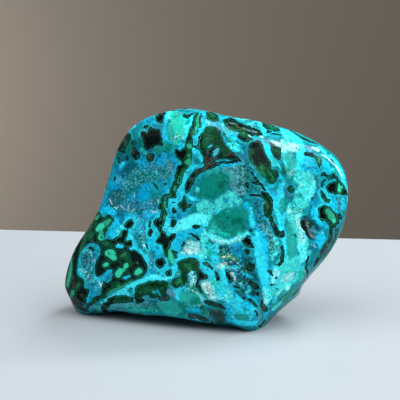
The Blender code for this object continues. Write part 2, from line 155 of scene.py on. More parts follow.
# The ground: soft washes laid one over another, (pigment, softness of the edge, strokes).
GROUND = [
    # upper left
    ("blue", 6, "150,165,26 130,185,24 165,185,20 120,205,16 150,215,20"),
    ("deep teal", 8, "122,150,10 128,165,9; 135,160,9 145,160,8; 118,196,7 113,205,6"),
    ("teal", 6, "142,172,8 135,180,9 128,190,6; 152,180,7 156,196,7; 133,213,5; 160,168,6 168,176,5"),
    (
        "sky", 4,
        "143,121,2.5 152,118,4 154,122,3; 112,184,5 121,182,5; 121,168,2 124,163,2; 114,171,3 112,177,2",
    ),
    ("sky", 4, "163,157,5 160,164,4; 140,160,4 144,167,4; 172,160,4 176,166,3 174,176,3 171,182,3"),
    ("cyan", 2.5, "130,130,2 134,127,2 136,124,1; 120,167,1.2 123,163,1.4; 156,171,1.2 157,177,1.2"),
    ("steel", 2, "144,129,2 146,131,1; 158,147,3 163,147,2.5; 166,160,1.5 170,165,2 171,170,2"),
    ("deep blue", 2, "122,172,1.5 123,176,1.5; 174,163,1.2; 119,153,2; 121,195,2.5; 127,153,1.2"),
    ("sky", 4, "146,188,6 144,197,7 146,204,5; 107,192,2 104,199,3 103,206,3; 166,188,4; 131,198,4"),
    (
        "azure", 3,
        "102,211,2.5 108,209,3.5 113,212,3; 127,217,3 133,214,3 136,219,3; 146,214,4 155,213,3; "
        "141,222,4",
    ),
    (
        "azure", 2,
        "117,220,2.5 116,226,4.5 112,233,4.5; 131,234,3.5 133,242,3 135,248,3; 138,227,3; 134,223,2",
    ),
    ("bright cyan", 2, "121,225,2 122,228,1.5; 118,231,1.5; 131,237,2; 134,247,1.5"),
    ("azure", 3, "155,233,3 151,238,4 150,243,3; 153,247,4 157,250,4 158,255,3"),
    ("blue", 2, "136,232,1.2; 145,219,1.8; 119,214,2; 121,222,2.5"),
    ("teal", 2, "124,195,2; 135,188,2.5 130,183,2; 150,173,3; 168,208,1.5 172,215,2"),
    # the light patch at the top and the cyan strips beside it
    ("azure", 2, "168,113,2.5 165,119,2.5 163.5,127,2.5 163.5,134,2.5 166,139,2.5 171,145,2.5 174,149,3"),
    ("green aqua", 2, "174,114,5 177,121,8.5 178,128,8.5 177,136,7.5 178,142,5"),
    ("lagoon", 3, "170,127,3 171,135,3.5 175,140,2.5; 167,133,1.5"),
    ("turquoise", 3, "183,119,3 188,117,2; 172,116,3; 180,127,3"),
    ("cyan", 1.5, "192,116,1 190.5,121,1.5 188,129,2 186,136,2 182,144,2.5 179,148,2"),
    ("bright cyan", 2, "170,112,2 169,118,1.5; 186,127,1.5; 193,114,0.8"),
    ("azure", 2, "178,146,2.5 181,147,2"),
    # pale steel along the top rim: partly the stone's colour, partly a painted rim highlight
    ("steel", 1.5, "184,109.5,1.2 195,110,1.2 206,111.5,1.2 216,113,1; 179,113,2"),
    ("sky", 1.5, "203,113,2.5 202,119,3 205,123,3 201,128,2.5 197,132,2 194,137,2.5 194,143,1.8"),
    ("cyan", 1.5, "201,118,1.2 201,122,1; 205,115,1.5; 207,122,2 211,122,1.5; 204,127,1.2"),
    ("cyan", 1.5, "194,148,1.8 196,153,2.2 200,158,2.2 204,162,1.8"),
    ("cyan", 1.5, "203,165,1.8 194,167,2 188,171,2.2 185,177,2 183,184,2.2 181,191,2.2 182,196,2"),
    ("sky", 2, "186,196,2.5; 177,182,1.5 176,191,2 177,198,2"),
    ("azure", 2, "192,142,1; 188,196,2.5 193,199,3 198,199,2"),
    ("bright cyan", 2, "190,198,1.2 195,200,1.2"),
    # middle left: round marks on blue
    ("sky", 3, "170,203,4.5 172,211,4.5 170,218,4; 182,214,6 178,222,3"),
    ("steel", 1.5, "171,201,2 174,203,1.5; 172,207,1.5; 171,215,1.5"),
    ("deep blue", 1.5, "178.5,217,1.2 179,213,1; 180,209,1.5"),
    ("azure", 2, "166,222,3 167,227,3 171,229,3; 176,214,2"),
    ("bright cyan", 2, "166,229,1.5 172,231.5,2 178,228,3.5 185,224,4.5 193,220,4.5 200,219,3; 180,224,3"),
    ("sky", 2, "187,230,2 192,230,3 198,231,2.5; 181,236,3"),
    ("azure", 3, "180,238,5 176,246,5 176,252,3; 186,238,2; 182,256,3"),
    ("aqua", 3, "202,208,6 208,214,5 206,222,4; 209,205,3"),
    ("pale aqua", 4, "192,246,6 194,252,6; 188,243,2; 198,244,2"),
    ("bright cyan", 3, "203,232,3 205,240,4 206,248,4 203,255,4"),
    ("deep teal", 2, "196,215,1.5 201,217,1.5; 193,206,1"),
    # the two smooth pools and what lies round them
    ("steel", 4, "237,172,9 238,182,8 241,192,6; 228,170,5; 215,165,4"),
    ("sky", 3, "216,166.5,2 224,164.5,2 232,164.5,2 238,162.5,1.5"),
    ("lagoon", 3, "210,176,5 216,171,4; 228,176,4"),
    ("aqua", 4, "213,206,5 222,203,6 231,197,6 218,211,5 228,203,5; 205,203,4; 238,203,4"),
    ("sky", 3, "226,200,2.5; 236,205,2; 213,203,1.5; 240,198,1.5"),
    ("sea", 3, "199,194,4 206,187,6.5 214,182,7.5 222,179,6.5 226,184,4 217,190,6 208,196,4"),
    ("deep sea", 5, "221,184,3.5 222,188,2"),
    ("sea", 3, "228,211,4 220,219,7.5 230,220,9 241,217,7.5 224,229,6.5 238,228,7 212,226,5"),
    ("deep sea", 6, "240,220,3.5 234,222,3; 243,226,2"),
    ("lagoon", 4, "213,228,4 217,231,3; 214,221,2; 228,211,2"),
    ("turquoise", 3, "222,234,2 230,235,1.5; 240,234,2"),
    ("bright cyan", 2.5, "207,234,2 213,237,2.5 220,240,3 228,242,2.5 236,239,2.5 243,236.5,2 248,233,2"),
    ("pale aqua", 2, "213,239,1.2 221,243,1.5 229,241,1.2 237,241,1.2"),
    ("turquoise", 3, "208,243,3 210,248,2.5; 213,258,3"),
    ("cyan", 3, "218,246,3 213,252,4 216,260,4"),
    ("sky", 2.5, "232,248,3 237,247,4.5 240,253,4 244,257,3; 245,244,1.5"),
    ("cyan", 3, "252,208,3 252,217,3 253,226,3"),
    ("blue", 4, "258,201,4 259,210,4.5 257,218,3; 262,217,3"),
    ("teal", 3, "254,206,3 256,214,1.5; 250,190,3; 246,203,2"),
    ("sky", 2, "256,191,1.8 261,190,1; 257,225,2"),
    ("mauve", 2, "248,184,3 254,186,3 258,183,2; 247,178,2"),
    ("steel", 3, "262,227,4 267,232,4 262,232,3"),
    ("mauve", 2, "261,225,2; 270,224,1.5"),
    # upper middle
    (
        "fern", 3,
        "216,118,3 212,119,3; 229,121,2.5 238,124,3.5 247,126,3 256,130,2; 244,132,4 246,140,3; "
        "266,123,2.5",
    ),
    ("fir", 3, "233,128,3; 243,133,2; 268,126,2 275,129,1.5"),
    ("sky", 2, "221,118,2 226,118,2; 219,123,1.5 221,127,2; 214,124,2.5"),
    ("cyan", 2, "222,124,1.5 223,129,2 226,134,3 229,139,4 232,144,4 237,148,3.5 240,152,2.5"),
    ("azure", 3, "232,134,3 235,139,3; 240,146,2"),
    ("aqua", 3, "228,132,1.5; 232,146,2.5; 225,128,1; 237,145,2"),
    ("blue", 2.5, "243,153,2.5 245,158,2.5 247,163,2; 243,147,1.5; 250,150,1"),
    ("teal", 3, "243,141,2.5 247,146,2; 246,165,2.5 241,166,2"),
    ("bright cyan", 1.5, "236,118,1 242,119.8,1.3 249,119,1.2 254,120.5,1"),
    ("cyan", 1.5, "249,124,1.5 254,122,1.2 259,122,1.5 261,126,2 263,130,2.2 262,135,2; 252,128,1 257,130,1"),
    ("mauve", 1.2, "254,124.6,1.6"),
    ("sky", 2, "255,140,2.5; 247,138,1.5; 246,133,1"),
    ("azure", 1.5, "264,139,2 265,144,2.5 267,150,3 270,156,2.8 272,161,2.5 275,165,3 279,167,3"),
    ("cyan", 2, "264,143,1.2; 274,165,2 278,168,2"),
    ("smoke", 1.5, "265,138,1.5 267,141,1; 272,156,1"),
    ("fern", 2, "270,128,3 277,127,2; 258,178,3; 272,178,2"),
    ("sky", 1.5, "253,169,1 257,174,1.3 262,180,1.5 266,186,1.8 270,191,2.2 274,196,2.5"),
    ("azure", 2.5, "278,174,2.5 281,178,3; 283,168,2"),
    # upper right
    ("cyan", 3, "283,130,3 290,134,4 296,139,4 301,145,4 301,153,4 299,161,3 298,168,3"),
    ("turquoise", 3, "286,132,2 291,135,3 296,139,2"),
    # the pale aqua and frost here are partly the stone's pale colour and partly a painted reflection of a
    # lamp
    ("pale aqua", 4, "283,141,2.5 287,146,4 294,147,4"),
    ("frost", 3, "294,147,2; 282,141,1.2"),
    ("lagoon", 3, "287,155,4 290,162,6 291,170,5 289,177,3"),
    ("steel", 3, "285,155,2 290,154,3"),
    ("cyan", 2, "284,160,0.8 285,165,0.8; 289,161,0.5"),
    ("teal", 2.5, "283,170,2.5 285,176,2.5 281,162,2; 287,172,1"),
    ("mauve", 2, "309,148,3 311,152,1.5"),
    ("azure", 3, "306,161,5 311,165,4 303,168,3 316,171,3"),
    ("sky", 2, "305,170,2 312,168,2 317,168,2"),
    ("aqua", 4, "300,178,7 308,184,7 303,192,7 309,176,5"),
    ("pale aqua", 4, "306,181,3 302,185,3 311,188,3"),
    ("azure", 2, "324,161,2.2 327,166,3.5 330,170,3 325,170,2"),
    # the bright cyan along the upper right rim is partly the stone's colour and partly a painted highlight
    ("cyan", 2.5, "321,149,2 328,155,3 336,163,3.5 341,171,3.5 344,180,3 346,190,2; 333,169,2"),
    ("bright cyan", 2, "337,167,2 342,176,2; 320,147,1.2; 330,154,1"),
    # right
    ("cyan", 3, "283,183,3 281,190,4 279,200,4 282,214,4 281,224,3 283,234,3 285,244,3"),
    ("blue", 3, "291,188,4 288,194,3.5 293,198,3; 286,190,1.5"),
    ("aqua", 4, "298,200,5 305,203,4 291,208,4 298,213,5; 290,216,4 296,222,4 299,232,5 303,244,6"),
    ("pale aqua", 3, "299,225,2 297,216,2 303,238,3 301,246,3; 289,212,2"),
    ("bright cyan", 3, "302,248,4 304,258,4 296,262,4; 301,232,2"),
    ("teal", 2, "283,205,3 282,212,2.5"),
    ("lagoon", 2, "290,226,3 290.5,234,4 290.5,242,4 291,250,4 293,256,4"),
    ("sky", 2.5, "316,192,3 312,198,3 317,203,3 310,202,1.5; 319,196,2"),
    ("deep teal", 2, "315,194,1.5 312,199,1.2"),
    ("azure", 2, "315,210,2 314,215,2 316,221,2.2 320,224,1.8 325,226,1.5"),
    ("sky", 2, "323,190,2.2 326,193.5,1.5; 328,172,1"),
    ("azure", 2.5, "332,200,3.5 334,206,4 335,211,2; 343,201,3 343,207,3; 338,196,1.5"),
    ("steel", 2, "338,200,1.2 338,206,1.2"),
    ("cyan", 1.5, "347,186,1 348,196,1 346,206,1"),
    ("blue", 2, "324,226,2.5 327,229,2; 311,248,2 315,252,1.5"),
    ("azure", 2, "320,233,2.5 323,236,3 319,240,3.5 315,243,2; 320,246,2"),
    ("teal", 2, "312,224,2; 310,262,3 312,267,2.5 309,256,2"),
    ("steel", 2, "330,228,2 334,236,1.5 331,244,1.5; 326,250,2; 340,215,1"),
    ("teal", 3, "315,256,3"),
    # lower right
    ("azure", 3, "258,232,4 263,240,5 263,250,6 263,262,5.5 263,274,5 264,283,4; 256,237,3"),
    ("bright cyan", 2.5, "262,256,3 262,266,3 266,290,3 269,296,4 273,292,3; 257,234,2"),
    ("aqua", 4, "274,240,4 276,250,4 272,258,3; 271,246,3"),
    ("steel", 3, "270,237,3 272,245,3; 277,250,2"),
    (
        "cyan", 4,
        "272,275,4 276,284,4 274,292,4 283,276,5 286,286,5 290,270,6 295,278,5; 276,268,3; 300,268,5",
    ),
    ("bright cyan", 4, "286,288,4 281,292,4 289,277,3 298,264,3"),
    ("pale aqua", 3, "291,278,2 284,288,2 276,270,2 272,283,2"),
    ("turquoise", 3, "302,272,3 301,280,3; 280,268,1.5"),
    ("jade", 2.5, "294,290,2.5 289,295,3 284,299,3 280,304,2.5"),
    ("lagoon", 3, "276,302,3 272,307,3; 286,292,1.5; 297,283,2"),
    ("sea", 2, "291,294,1.5 285,299,1.5"),
    ("pale mint", 2, "304,269,1.5 306,272,1.2"),
    ("sky", 2, "283,306,1; 302,283,1; 312,272,1"),
    # the right foot and the slope above it
    ("aqua", 4, "214,284,6 218,292,6 224,286,5; 210,280,3"),
    ("turquoise", 4, "217,286,4 222,291,3; 210,253,3"),
    ("cyan", 2.5, "209,267,2 212,272,2.5 213,277,2; 222,272,3 224,280,3 227,289,3; 217,267,2; 220,264,1.5"),
    ("frost", 3, "207,288,2.5 210,293,2; 205,285,3; 222,265,1"),
    ("mauve", 2, "208,291,1.5 211,297,1.5; 226,303,1"),
    ("azure", 2, "233,289,2.5 237,293,3 242,299,3 247,304,3.5 251,308,3 253,313,2.5; 228,304,2.5"),
    ("bright cyan", 2.5, "219,296,3 226,297,3.5 232,301,3.5 237,306,3.5 241,308,2"),
    ("cyan", 3, "233,312,5 240,316,6 249,315,5 246,323,5 256,322,4 236,321,4"),
    ("lagoon", 4, "240,318,3.5 246,319,3; 257,326,2"),
    ("sky", 3, "257,316,2.5 262,316,2.5 253,320,2; 239,326,1.5"),
    ("steel", 2, "260,322,1.5 258,310,2.5; 262,308,2"),
    ("azure", 2, "267,311,2.5 265,317,2 270,306,1.5"),
    # the pocket's surroundings
    ("teal", 4, "246,262,6 248,272,8 246,283,8 250,293,6 256,300,4; 241,260,4"),
    ("deep teal", 3, "250,258,3; 243,288,3 247,296,3; 254,276,3; 238,290,2; 236,286,2"),
    ("blue", 2.5, "236,267,2 241,266,1.5; 252,275,2 242,280,2; 255,289,1.5 258,300,2 256,298,1"),
    ("sky", 2, "251,289,1.5 255,291,1.5; 246,293,1; 258,288,1; 256,297,2"),
    ("steel", 2, "246,293,2 243,286,2; 252,300,1.5; 229,268,2.5"),
    # lower middle
    (
        "azure", 1.5,
        "134,290,2.5 136,285,2.5 140,282.5,3 146,279.5,3.2 153,277,3.2 161,278,3.5 167,278,2.5 "
        "171,274,2.5",
    ),
    (
        "azure", 1.5,
        "173,269,2.5 176,263,2.5 180,259,2.5 185,256.5,2.5 191,255.5,2.5 197,257,2.5 201,262,2.5 "
        "205,268,2.5",
    ),
    ("bright cyan", 1.5, "150,278,1.5 158,277,1.8 165,277,1.5; 173,266,1.2; 188,255,1.5 197,256,1.5"),
    ("sky", 3, "152,271,4.5 156,266,3 158,257,2.5; 150,262,2; 148,272,3; 167,268,3"),
    ("cyan", 2, "146,256,3 147,263,2.5 150,268,1.5; 161,246,2"),
    ("blue", 2, "167,264,2 160,271,2.5; 176,266,1; 165,267,1.5"),
    ("pale aqua", 3, "192,274,3 194,280,3 191,284,2"),
    ("steel", 2, "190,278,2; 196,277,1.2; 188,273,1"),
    ("frost", 2, "204,286,3 206,289,2; 203,283,1.5"),
    ("cyan", 4, "178,291,4.5 186,290,4 181,299,4 176,297,3"),
    ("mauve", 2, "170,292,2.5 174,296,2; 175,288,1.5; 180,289,1"),
    ("jade", 3, "192,287,2.5 197,291,2.5 202,295,2.5 206,298,2; 170,284,1.5"),
    ("lagoon", 3, "189,299,4.5 196,300,5.5 191,304,4; 183,303,3"),
    ("turquoise", 2, "198,300,3 200,297,2"),
    ("cyan", 1.2, "203,296,1 205.5,301,1.2 204,304,1; 195,307,0.8 201,304,0.8; 207,293,0.8"),
    ("teal", 4, "138,306,6 148,304,6 155,303,4; 146,298,3; 163,308,3"),
    ("steel", 3, "142,307,4 152,308,4; 145,299,2"),
    ("lagoon", 4, "163,306,5 171,308,6.5 177,313,5 168,312,5"),
    ("sea", 4, "177,304,4 182,308,4 181,314,3"),
    ("blue", 3, "190,311,3 197,311,3; 140,303,2; 151,303,1.5; 128,302,1.5"),
    ("jade", 3, "204,311,2.5 206,316,2; 207,303,1"),
    ("steel", 2, "212,310,1.5 209,314,1.5 211,320,1.5 217,325,1.5 223,327,1.2"),
    # lower left
    (
        "teal", 2.5,
        "84,252,3.5 83,262,5 85,272,5 92,254,3.5 93,264,3.5 92,274,4 93,281,5 88,285,3 96,250,4 "
        "98,256,2.5",
    ),
    ("blue", 2, "83,258,2.5; 91,248,2 97,246,1.5; 98,253,1.5; 92,281,2 95,287,2"),
    ("deep teal", 2, "97,262,2 98,257,1.5; 93,247,1.5; 91,278,1; 84,262,1"),
    (
        "cyan", 1,
        "80,264,0.7 82,268,0.8 86,268.5,0.7 89,264.5,0.7 89,259,0.6; 79,270,1.2 82,275,1.5 85,279,1.5; "
        "94,278,1",
    ),
    (
        "azure", 2,
        "97,278,3 104,276,3 109,272.5,2 111,270.5,1.5; 86,283,2; 99,283,3 95,289,3 90,290,2.5; "
        "94,294,2 89,296,2",
    ),
    ("azure", 1.5, "88,298,1.8 87,302,1.3; 126,277,2.2 129,276,1.5; 118,246.5,2.5 121,246.5,2.5"),
    ("blue", 1.5, "108,277,1.5; 125,279,1.5; 98,294,1.5; 101,277,1.5"),
    (
        "sky", 1.5,
        "101,303,1.8 106,300.5,2.2 110,297,2.2 115,295,2.5 120,293,3 124,291.5,3 128,294,2.5 132,297,1.5",
    ),
    ("azure", 1.2, "104,302,1 112,296.5,1.5 119,294,2 124,292.5,2.5; 124,292,1.5"),
    ("sky", 2, "92,226,1 97,223.5,0.8; 134,270,0.8; 100,250,0.8"),
    ("steel", 3, "95,308,4.5 101,309,4 111,308,4 120,309,4 130,307,4; 92,312,2.5 86,313,1.5"),
    ("teal", 3, "93,310,3; 122,307,3; 132,309,3; 114,310,2"),
    ("blue", 1.5, "97,308.5,1.2; 118,308,1.5; 125,306,1; 140,310,1.5"),
    # last touches
    ("deep sea", 5, "128,141,5 131,145,5 128,150,4; 121,152,4 119,158,3.5; 140,141,3 142,147,3; 143,128,2"),
    (
        "deep teal", 4,
        "118,148,3; 124,158,3; 135,143,3 139,148,3; 115,163,1.5; 122,156,3; 148,151,2 154,150,2",
    ),
    ("sea", 4, "158,150,4 165,145,4 170,146,3; 168,150,3 176,147,1.5"),
    ("lagoon", 3, "131,138,2; 142,150,2; 145,153,2"),
    ("moss", 4, "133,143,2.5 134,147,2.5; 139,158,1.5; 122,153,1.5"),
    ("bright cyan", 3, "165,217,2 166,225,3 171,230,3 178,228,5 186,223,6 195,220,6 203,218,4"),
    ("azure", 3, "185,234,4 192,231,3 199,230,3; 179,236,4 177,244,4"),
    (
        "bright cyan", 1.5,
        "101,303.5,1.2 107,299.5,1.5 113,295.5,1.5 119,293,2 124,291,2.5 128,293,2 131,295.5,1.2",
    ),
    (
        "bright cyan", 1.5,
        "124,289,1.5 130,286,1.8 136,283.5,2 144,280.5,2.2 152,278,2.4 160,277.5,2.4 168,278,2 173,276,2",
    ),
    (
        "cyan", 1.5,
        "173,272,2.5 173.5,266,2.5 176,260,2.5 181,256.5,2 187,255,1.8 193,255,1.8 199,258,2 203,263,2",
    ),
    ("cyan", 1.5, "203,263,2 205,268,2 210,272,2.5 214,278,2.5"),
    ("pale aqua", 3, "206,286,5 210,292,5 213,298,4"),
    ("frost", 3, "205,285,3 208,290,3; 212,297,2"),
    ("lagoon", 2.5, "166,306,6 173,307,6 180,311,3"),
    ("lagoon", 2, "184,296,5 191,298,7 198,302,5"),
    ("sea", 3, "194,301,4 200,301,2.5"),
    ("pale aqua", 1.2, "188,289,0.8 196,292.5,0.8 202,298,0.8 204,303,0.8 199,306.5,0.7"),
    ("cyan", 3, "284,131,3 290,135,4.5 297,141,5 301,148,4 300,158,3"),
    # the pale aqua and the pale steel column are partly the stone's colour and partly a painted reflection of
    # a lamp
    ("pale aqua", 4, "286,143,4 291,147,5 296,148,4"),
    ("pale steel", 2.5, "286,154,3.5 290,160,5 291,168,5 290,173,3"),
    ("lagoon", 2, "293,157,2 294,165,2.5"),
    ("aqua", 4, "300,176,6 308,180,6 312,188,4 304,190,6"),
    ("bright cyan", 3, "314,182,2 312,192,2.5 308,198,3"),
    ("lagoon", 1.5, "282,200,2.5 282,206,3 280,211,2"),
    ("cyan", 1.2, "260,122,2 263,128,2.2 266,134,2.2"),
    ("azure", 1.2, "264,140,2.2 266,146,3 269,152,3 271,156,2.6"),
    ("deep teal", 3, "247,170,3 250,178,4 256,186,4 247,186,3"),
    ("sky", 1.2, "251,169,1.4 256,175,1.6 262,181,1.8 268,188,2.2 274,195,2.6"),
    (
        "cyan", 1.5,
        "275,203,2.4 275,209,2.6 278,215,2.4 281,222,2 283,232,2 285,243,2.2 287,254,2.4 289,262,2",
    ),
    ("lagoon", 2, "289,222,2 290,232,4 291,243,5 292,253,5 293,260,4"),
    ("azure", 1.5, "314,207,1.8 313,213,2.2 315,219,2.4 319,224,2.2 325,227,2"),
    ("azure", 2, "319,236,3 323,238,3.4 321,242,3"),
    ("deep sea", 2, "337,231,3 334,241,3 329,250,3 323,260,2"),
    ("jade", 1.5, "335.5,235,1 331.5,245,1 326,254,1"),
    ("deep teal", 2, "285,189,2; 291,197,3; 287,194,2"),
    ("aqua", 5, "285,265,8 292,275,8 283,285,8 275,292,6 296,262,6"),
    ("cyan", 4, "268,285,4 270,295,4 275,300,3"),
    ("pale aqua", 4, "284,281,4 291,276,4; 280,293,3"),
    ("cyan", 4, "232,300,4 240,305,5 236,315,6 245,318,6 252,312,5"),
    ("lagoon", 2, "239,317,4 246,318,4"),
    ("sky", 2, "234,248,3 237,254,4 240,260,3"),
    ("deep blue", 3, "85,256,2.5 86,262,3 84.5,266,2"),
    ("blue", 2, "81,256,1.5 82,268,2; 90,262,2 95,254,2.5; 92,279,2.5"),
    (
        "aqua", 1.2,
        "80,262,0.6 81.5,268,0.8 85,271.5,0.8; 87,250,0.7 83,252,0.7; "
        "89,281,0.7 93,282.5,0.6 95.5,279,0.6",
    ),
    ("sky", 3, "88,285,3 92,293,3; 103,276,2.5 108,271,2.5; 97,248,2"),
    ("deep sea", 2, "86,311.5,3 96,312.5,2.5 108,313.5,2.5 122,314,2.5 140,314,2.5"),
    ("slate", 2, "103,306,2 105,311,3; 118,309,1.5; 70,303,2 76,308,3"),
    ("steel", 3, "112,307,2.5 122,304,3 134,303,4 146,303,4; 150,294,3"),
    ("lagoon", 3, "128,309,3 142,309,3 155,310,3; 97,307,2"),
    ("mauve", 1.5, "109,304,1.2 116,302.5,1; 124,309,1.2; 133,306,1"),
    ("deep teal", 4, "243,145,2.5 246,152,3 247,160,3.5 247,168,3 250,178,4 254,186,4; 258,190,3 252,195,3"),
    ("deep sea", 3, "245,138,2 249,147,1.5; 249,180,2 246,174,2; 256,183,2 262,188,2; 282,166,2 284,172,2.5"),
    ("teal", 3, "250,129,2.5 256,127,2; 240,135,2 236,131,2; 262,136,2; 275,133,3 280,136,2"),
    ("lagoon", 1.2, "285.5,151,2.8 288,158,4 290,166,4 289,171,2.5"),
    ("aqua", 1.5, "283,133,2.5 287,138,3.5 285,145,3"),
    (
        "deep sea", 2,
        "206,302,1.5 212,300.5,1.5; 208,309,1.5; 203,305,2 200,309,1.5; 196,315,2 204,318,2.5 212,323,2",
    ),
    ("azure", 1.5, "187,309,1.5 193,310,2 200,311,1.8; 228,305,2 229,312,2.5 229,320,2.5"),
    ("mauve", 1.5, "188,316,1.5 195,317,1.5 200,320,1.2; 160,299,1.5 166,299,2; 168,291,2"),
    # darker spots
    ("lagoon", 2, "272,159,2 276,163,3; 231,140,2.5 234,143,2.5; 300,196,3"),
    ("deep sea", 3, "272,170,3 277,169,2.5; 259,175,3 261,179,2; 267,184,3; 252,141,2.5 253,149,3"),
    (
        "deep teal", 3,
        "218,127,3 223,134,3 226,142,2.5; 321,190,2.5 324,194,2.5; 238,154,3.5 241,159,2; 252,169,3",
    ),
    ("deep teal", 4, "154,119,3 162,120,3 161,127,2.5 161,134,2.5; 155,128,3 153,133,2; 118,150,3"),
    ("blue", 3, "154,232,3 155,226,2.5; 162,274,3; 161,268,3 158,262,3; 329,197,3; 183,141,2"),
    (
        "teal", 3,
        "197,127,2.5 196,133,2; 204,119,2; 190,113,2.5; 211,120,3; 273,198,3; 176,204,3; 126,288,1.5",
    ),
    # brighter spots
    ("bright cyan", 3, "266,292,3 267,299,3.5 266,304,3; 231,296,2.5 228,291,2; 223,247,1.5"),
    # the first stroke of each of these two washes is a painted highlight on the upper right rim
    ("pale aqua", 2, "313,148,2 317,149,2.5; 218,267,2.5 225,267,2; 183,253,2.5; 288,288,3; 239,239,2.5"),
    ("frost", 1.5, "314,148,1 318,150,1.2; 266,300,1.2 265,304,1"),
    ("cyan", 2.5, "217,246,3 211,246,3; 232,247,3; 253,239,2.5; 204,225,2.5; 141,231,2; 217,211,2.5"),
    ("azure", 2.5, "134,231,2.5; 235,248,2.5; 246,206,3"),
    ("aqua", 2.5, "197,190,2.5; 211,232,2.5; 302,218,1.5; 309,253,3; 274,309,3 280,303,2.5; 197,260,2"),
    ("frost", 2, "190,253,2.5 186,249,2; 195,249,2"),
    ("cyan", 2.5, "218,288,3 222,293,2.5; 204,246,2.5"),
    ("lagoon", 2.5, "281,295,3 284,291,3"),
    # in the rough pocket
    ("deep teal", 2, "224,250,4 230,257,5 238,266,6 244,276,7 248,288,7 253,298,5"),
    ("deep sea", 2, "221,249,2.5 228,250,2.5; 245,272,4 243,280,4"),
    ("azure", 2, "235,250,3 239,256,3"),
    ("jade", 1.5, "221,256,2 230,257,3 237,260,2"),
    ("cream", 1.5, "224,258,0.7 230,256,0.8; 235,261,0.8; 221,264,0.8 227,264,0.9; 233,262.5,0.9"),
    ("aqua", 1.5, "225,268,1.5 229,267,1.5; 241,284,1.5 243,287,1.5; 246,292,1.5 250,290,1.5"),
    ("azure", 1.5, "233,268,1.5 237,267,1.5; 248,276,2 252,277,1.5; 247,296,1.5 257,299,2; 250,287,1.5"),
    ("cream", 1.5, "231,270,0.7; 236,270,0.9; 233,274,1 235,279,1.3; 235,283,0.7"),
    ("blue", 2, "239,274,3 240,268,2.5; 243,278,2"),
    ("sky", 2, "238,271,1.5 241,267,1.5; 244,275,2; 247,283,1.5"),
    ("moss", 2, "246,261,2 250,267,4.5 253,272,3; 248,281,2 254,285,3 257,288,2; 254,293,2 260,294,2"),
    ("pitch", 2, "236,290,1 240,295,2 244,299,2.5 251,302,2.5 256,306,2.5; 241,276,1.5 240,270,1"),
    ("olive", 1.5, "262,304,1.5 264,310,1.5; 257,293,1.5 262,296,1; 254,283,1.2"),
    # in the vug
    ("deep teal", 1.5, "306,219,3 312,224,4 316,230,3 311,237,3"),
    # pitch on the vug's deep left wall: partly the stone's dark, partly painted shade
    ("pitch", 1.5, "302,222,2.5 304,228,3 307,233,3 309,237,1.5"),
    ("smoke", 1, "306,219,1.2 307,225,1.4 309,231,1.5 312,236,2"),
    ("cream", 0.8, "307,220,0.3 307.5,225,0.5 310,229,0.5; 311,236,0.6 311.5,238,0.6"),
    ("fir", 1, "310,221,1 311,225,1.5 313,228,1"),
    ("steel", 1, "312,230,0.8 316,232,1.2 313,227,0.6"),
    # right side and foot
    ("sky", 3, "234,247,4 240,250,4; 236,254,3"),
    ("teal", 2.5, "222,249,3 228,251,3"),
    ("cyan", 3, "257,242,4 260,255,5 263,270,5 265,283,4"),
    ("aqua", 3, "275,290,5 270,297,3; 282,284,3"),
    ("slate", 3, "334,227,3 334,236,4 328,246,5 320,257,5 314,266,3"),
    ("slate", 2, "215,307,4.5 218,313,6.5 220,320,5; 212,312,3"),
    ("steel", 1.5, "216,152,3.5; 210,147,2"),
    # partly the stone's pale colour, partly a painted reflection of a lamp
    ("pale aqua", 2, "284,150,3 286,146,2"),
]

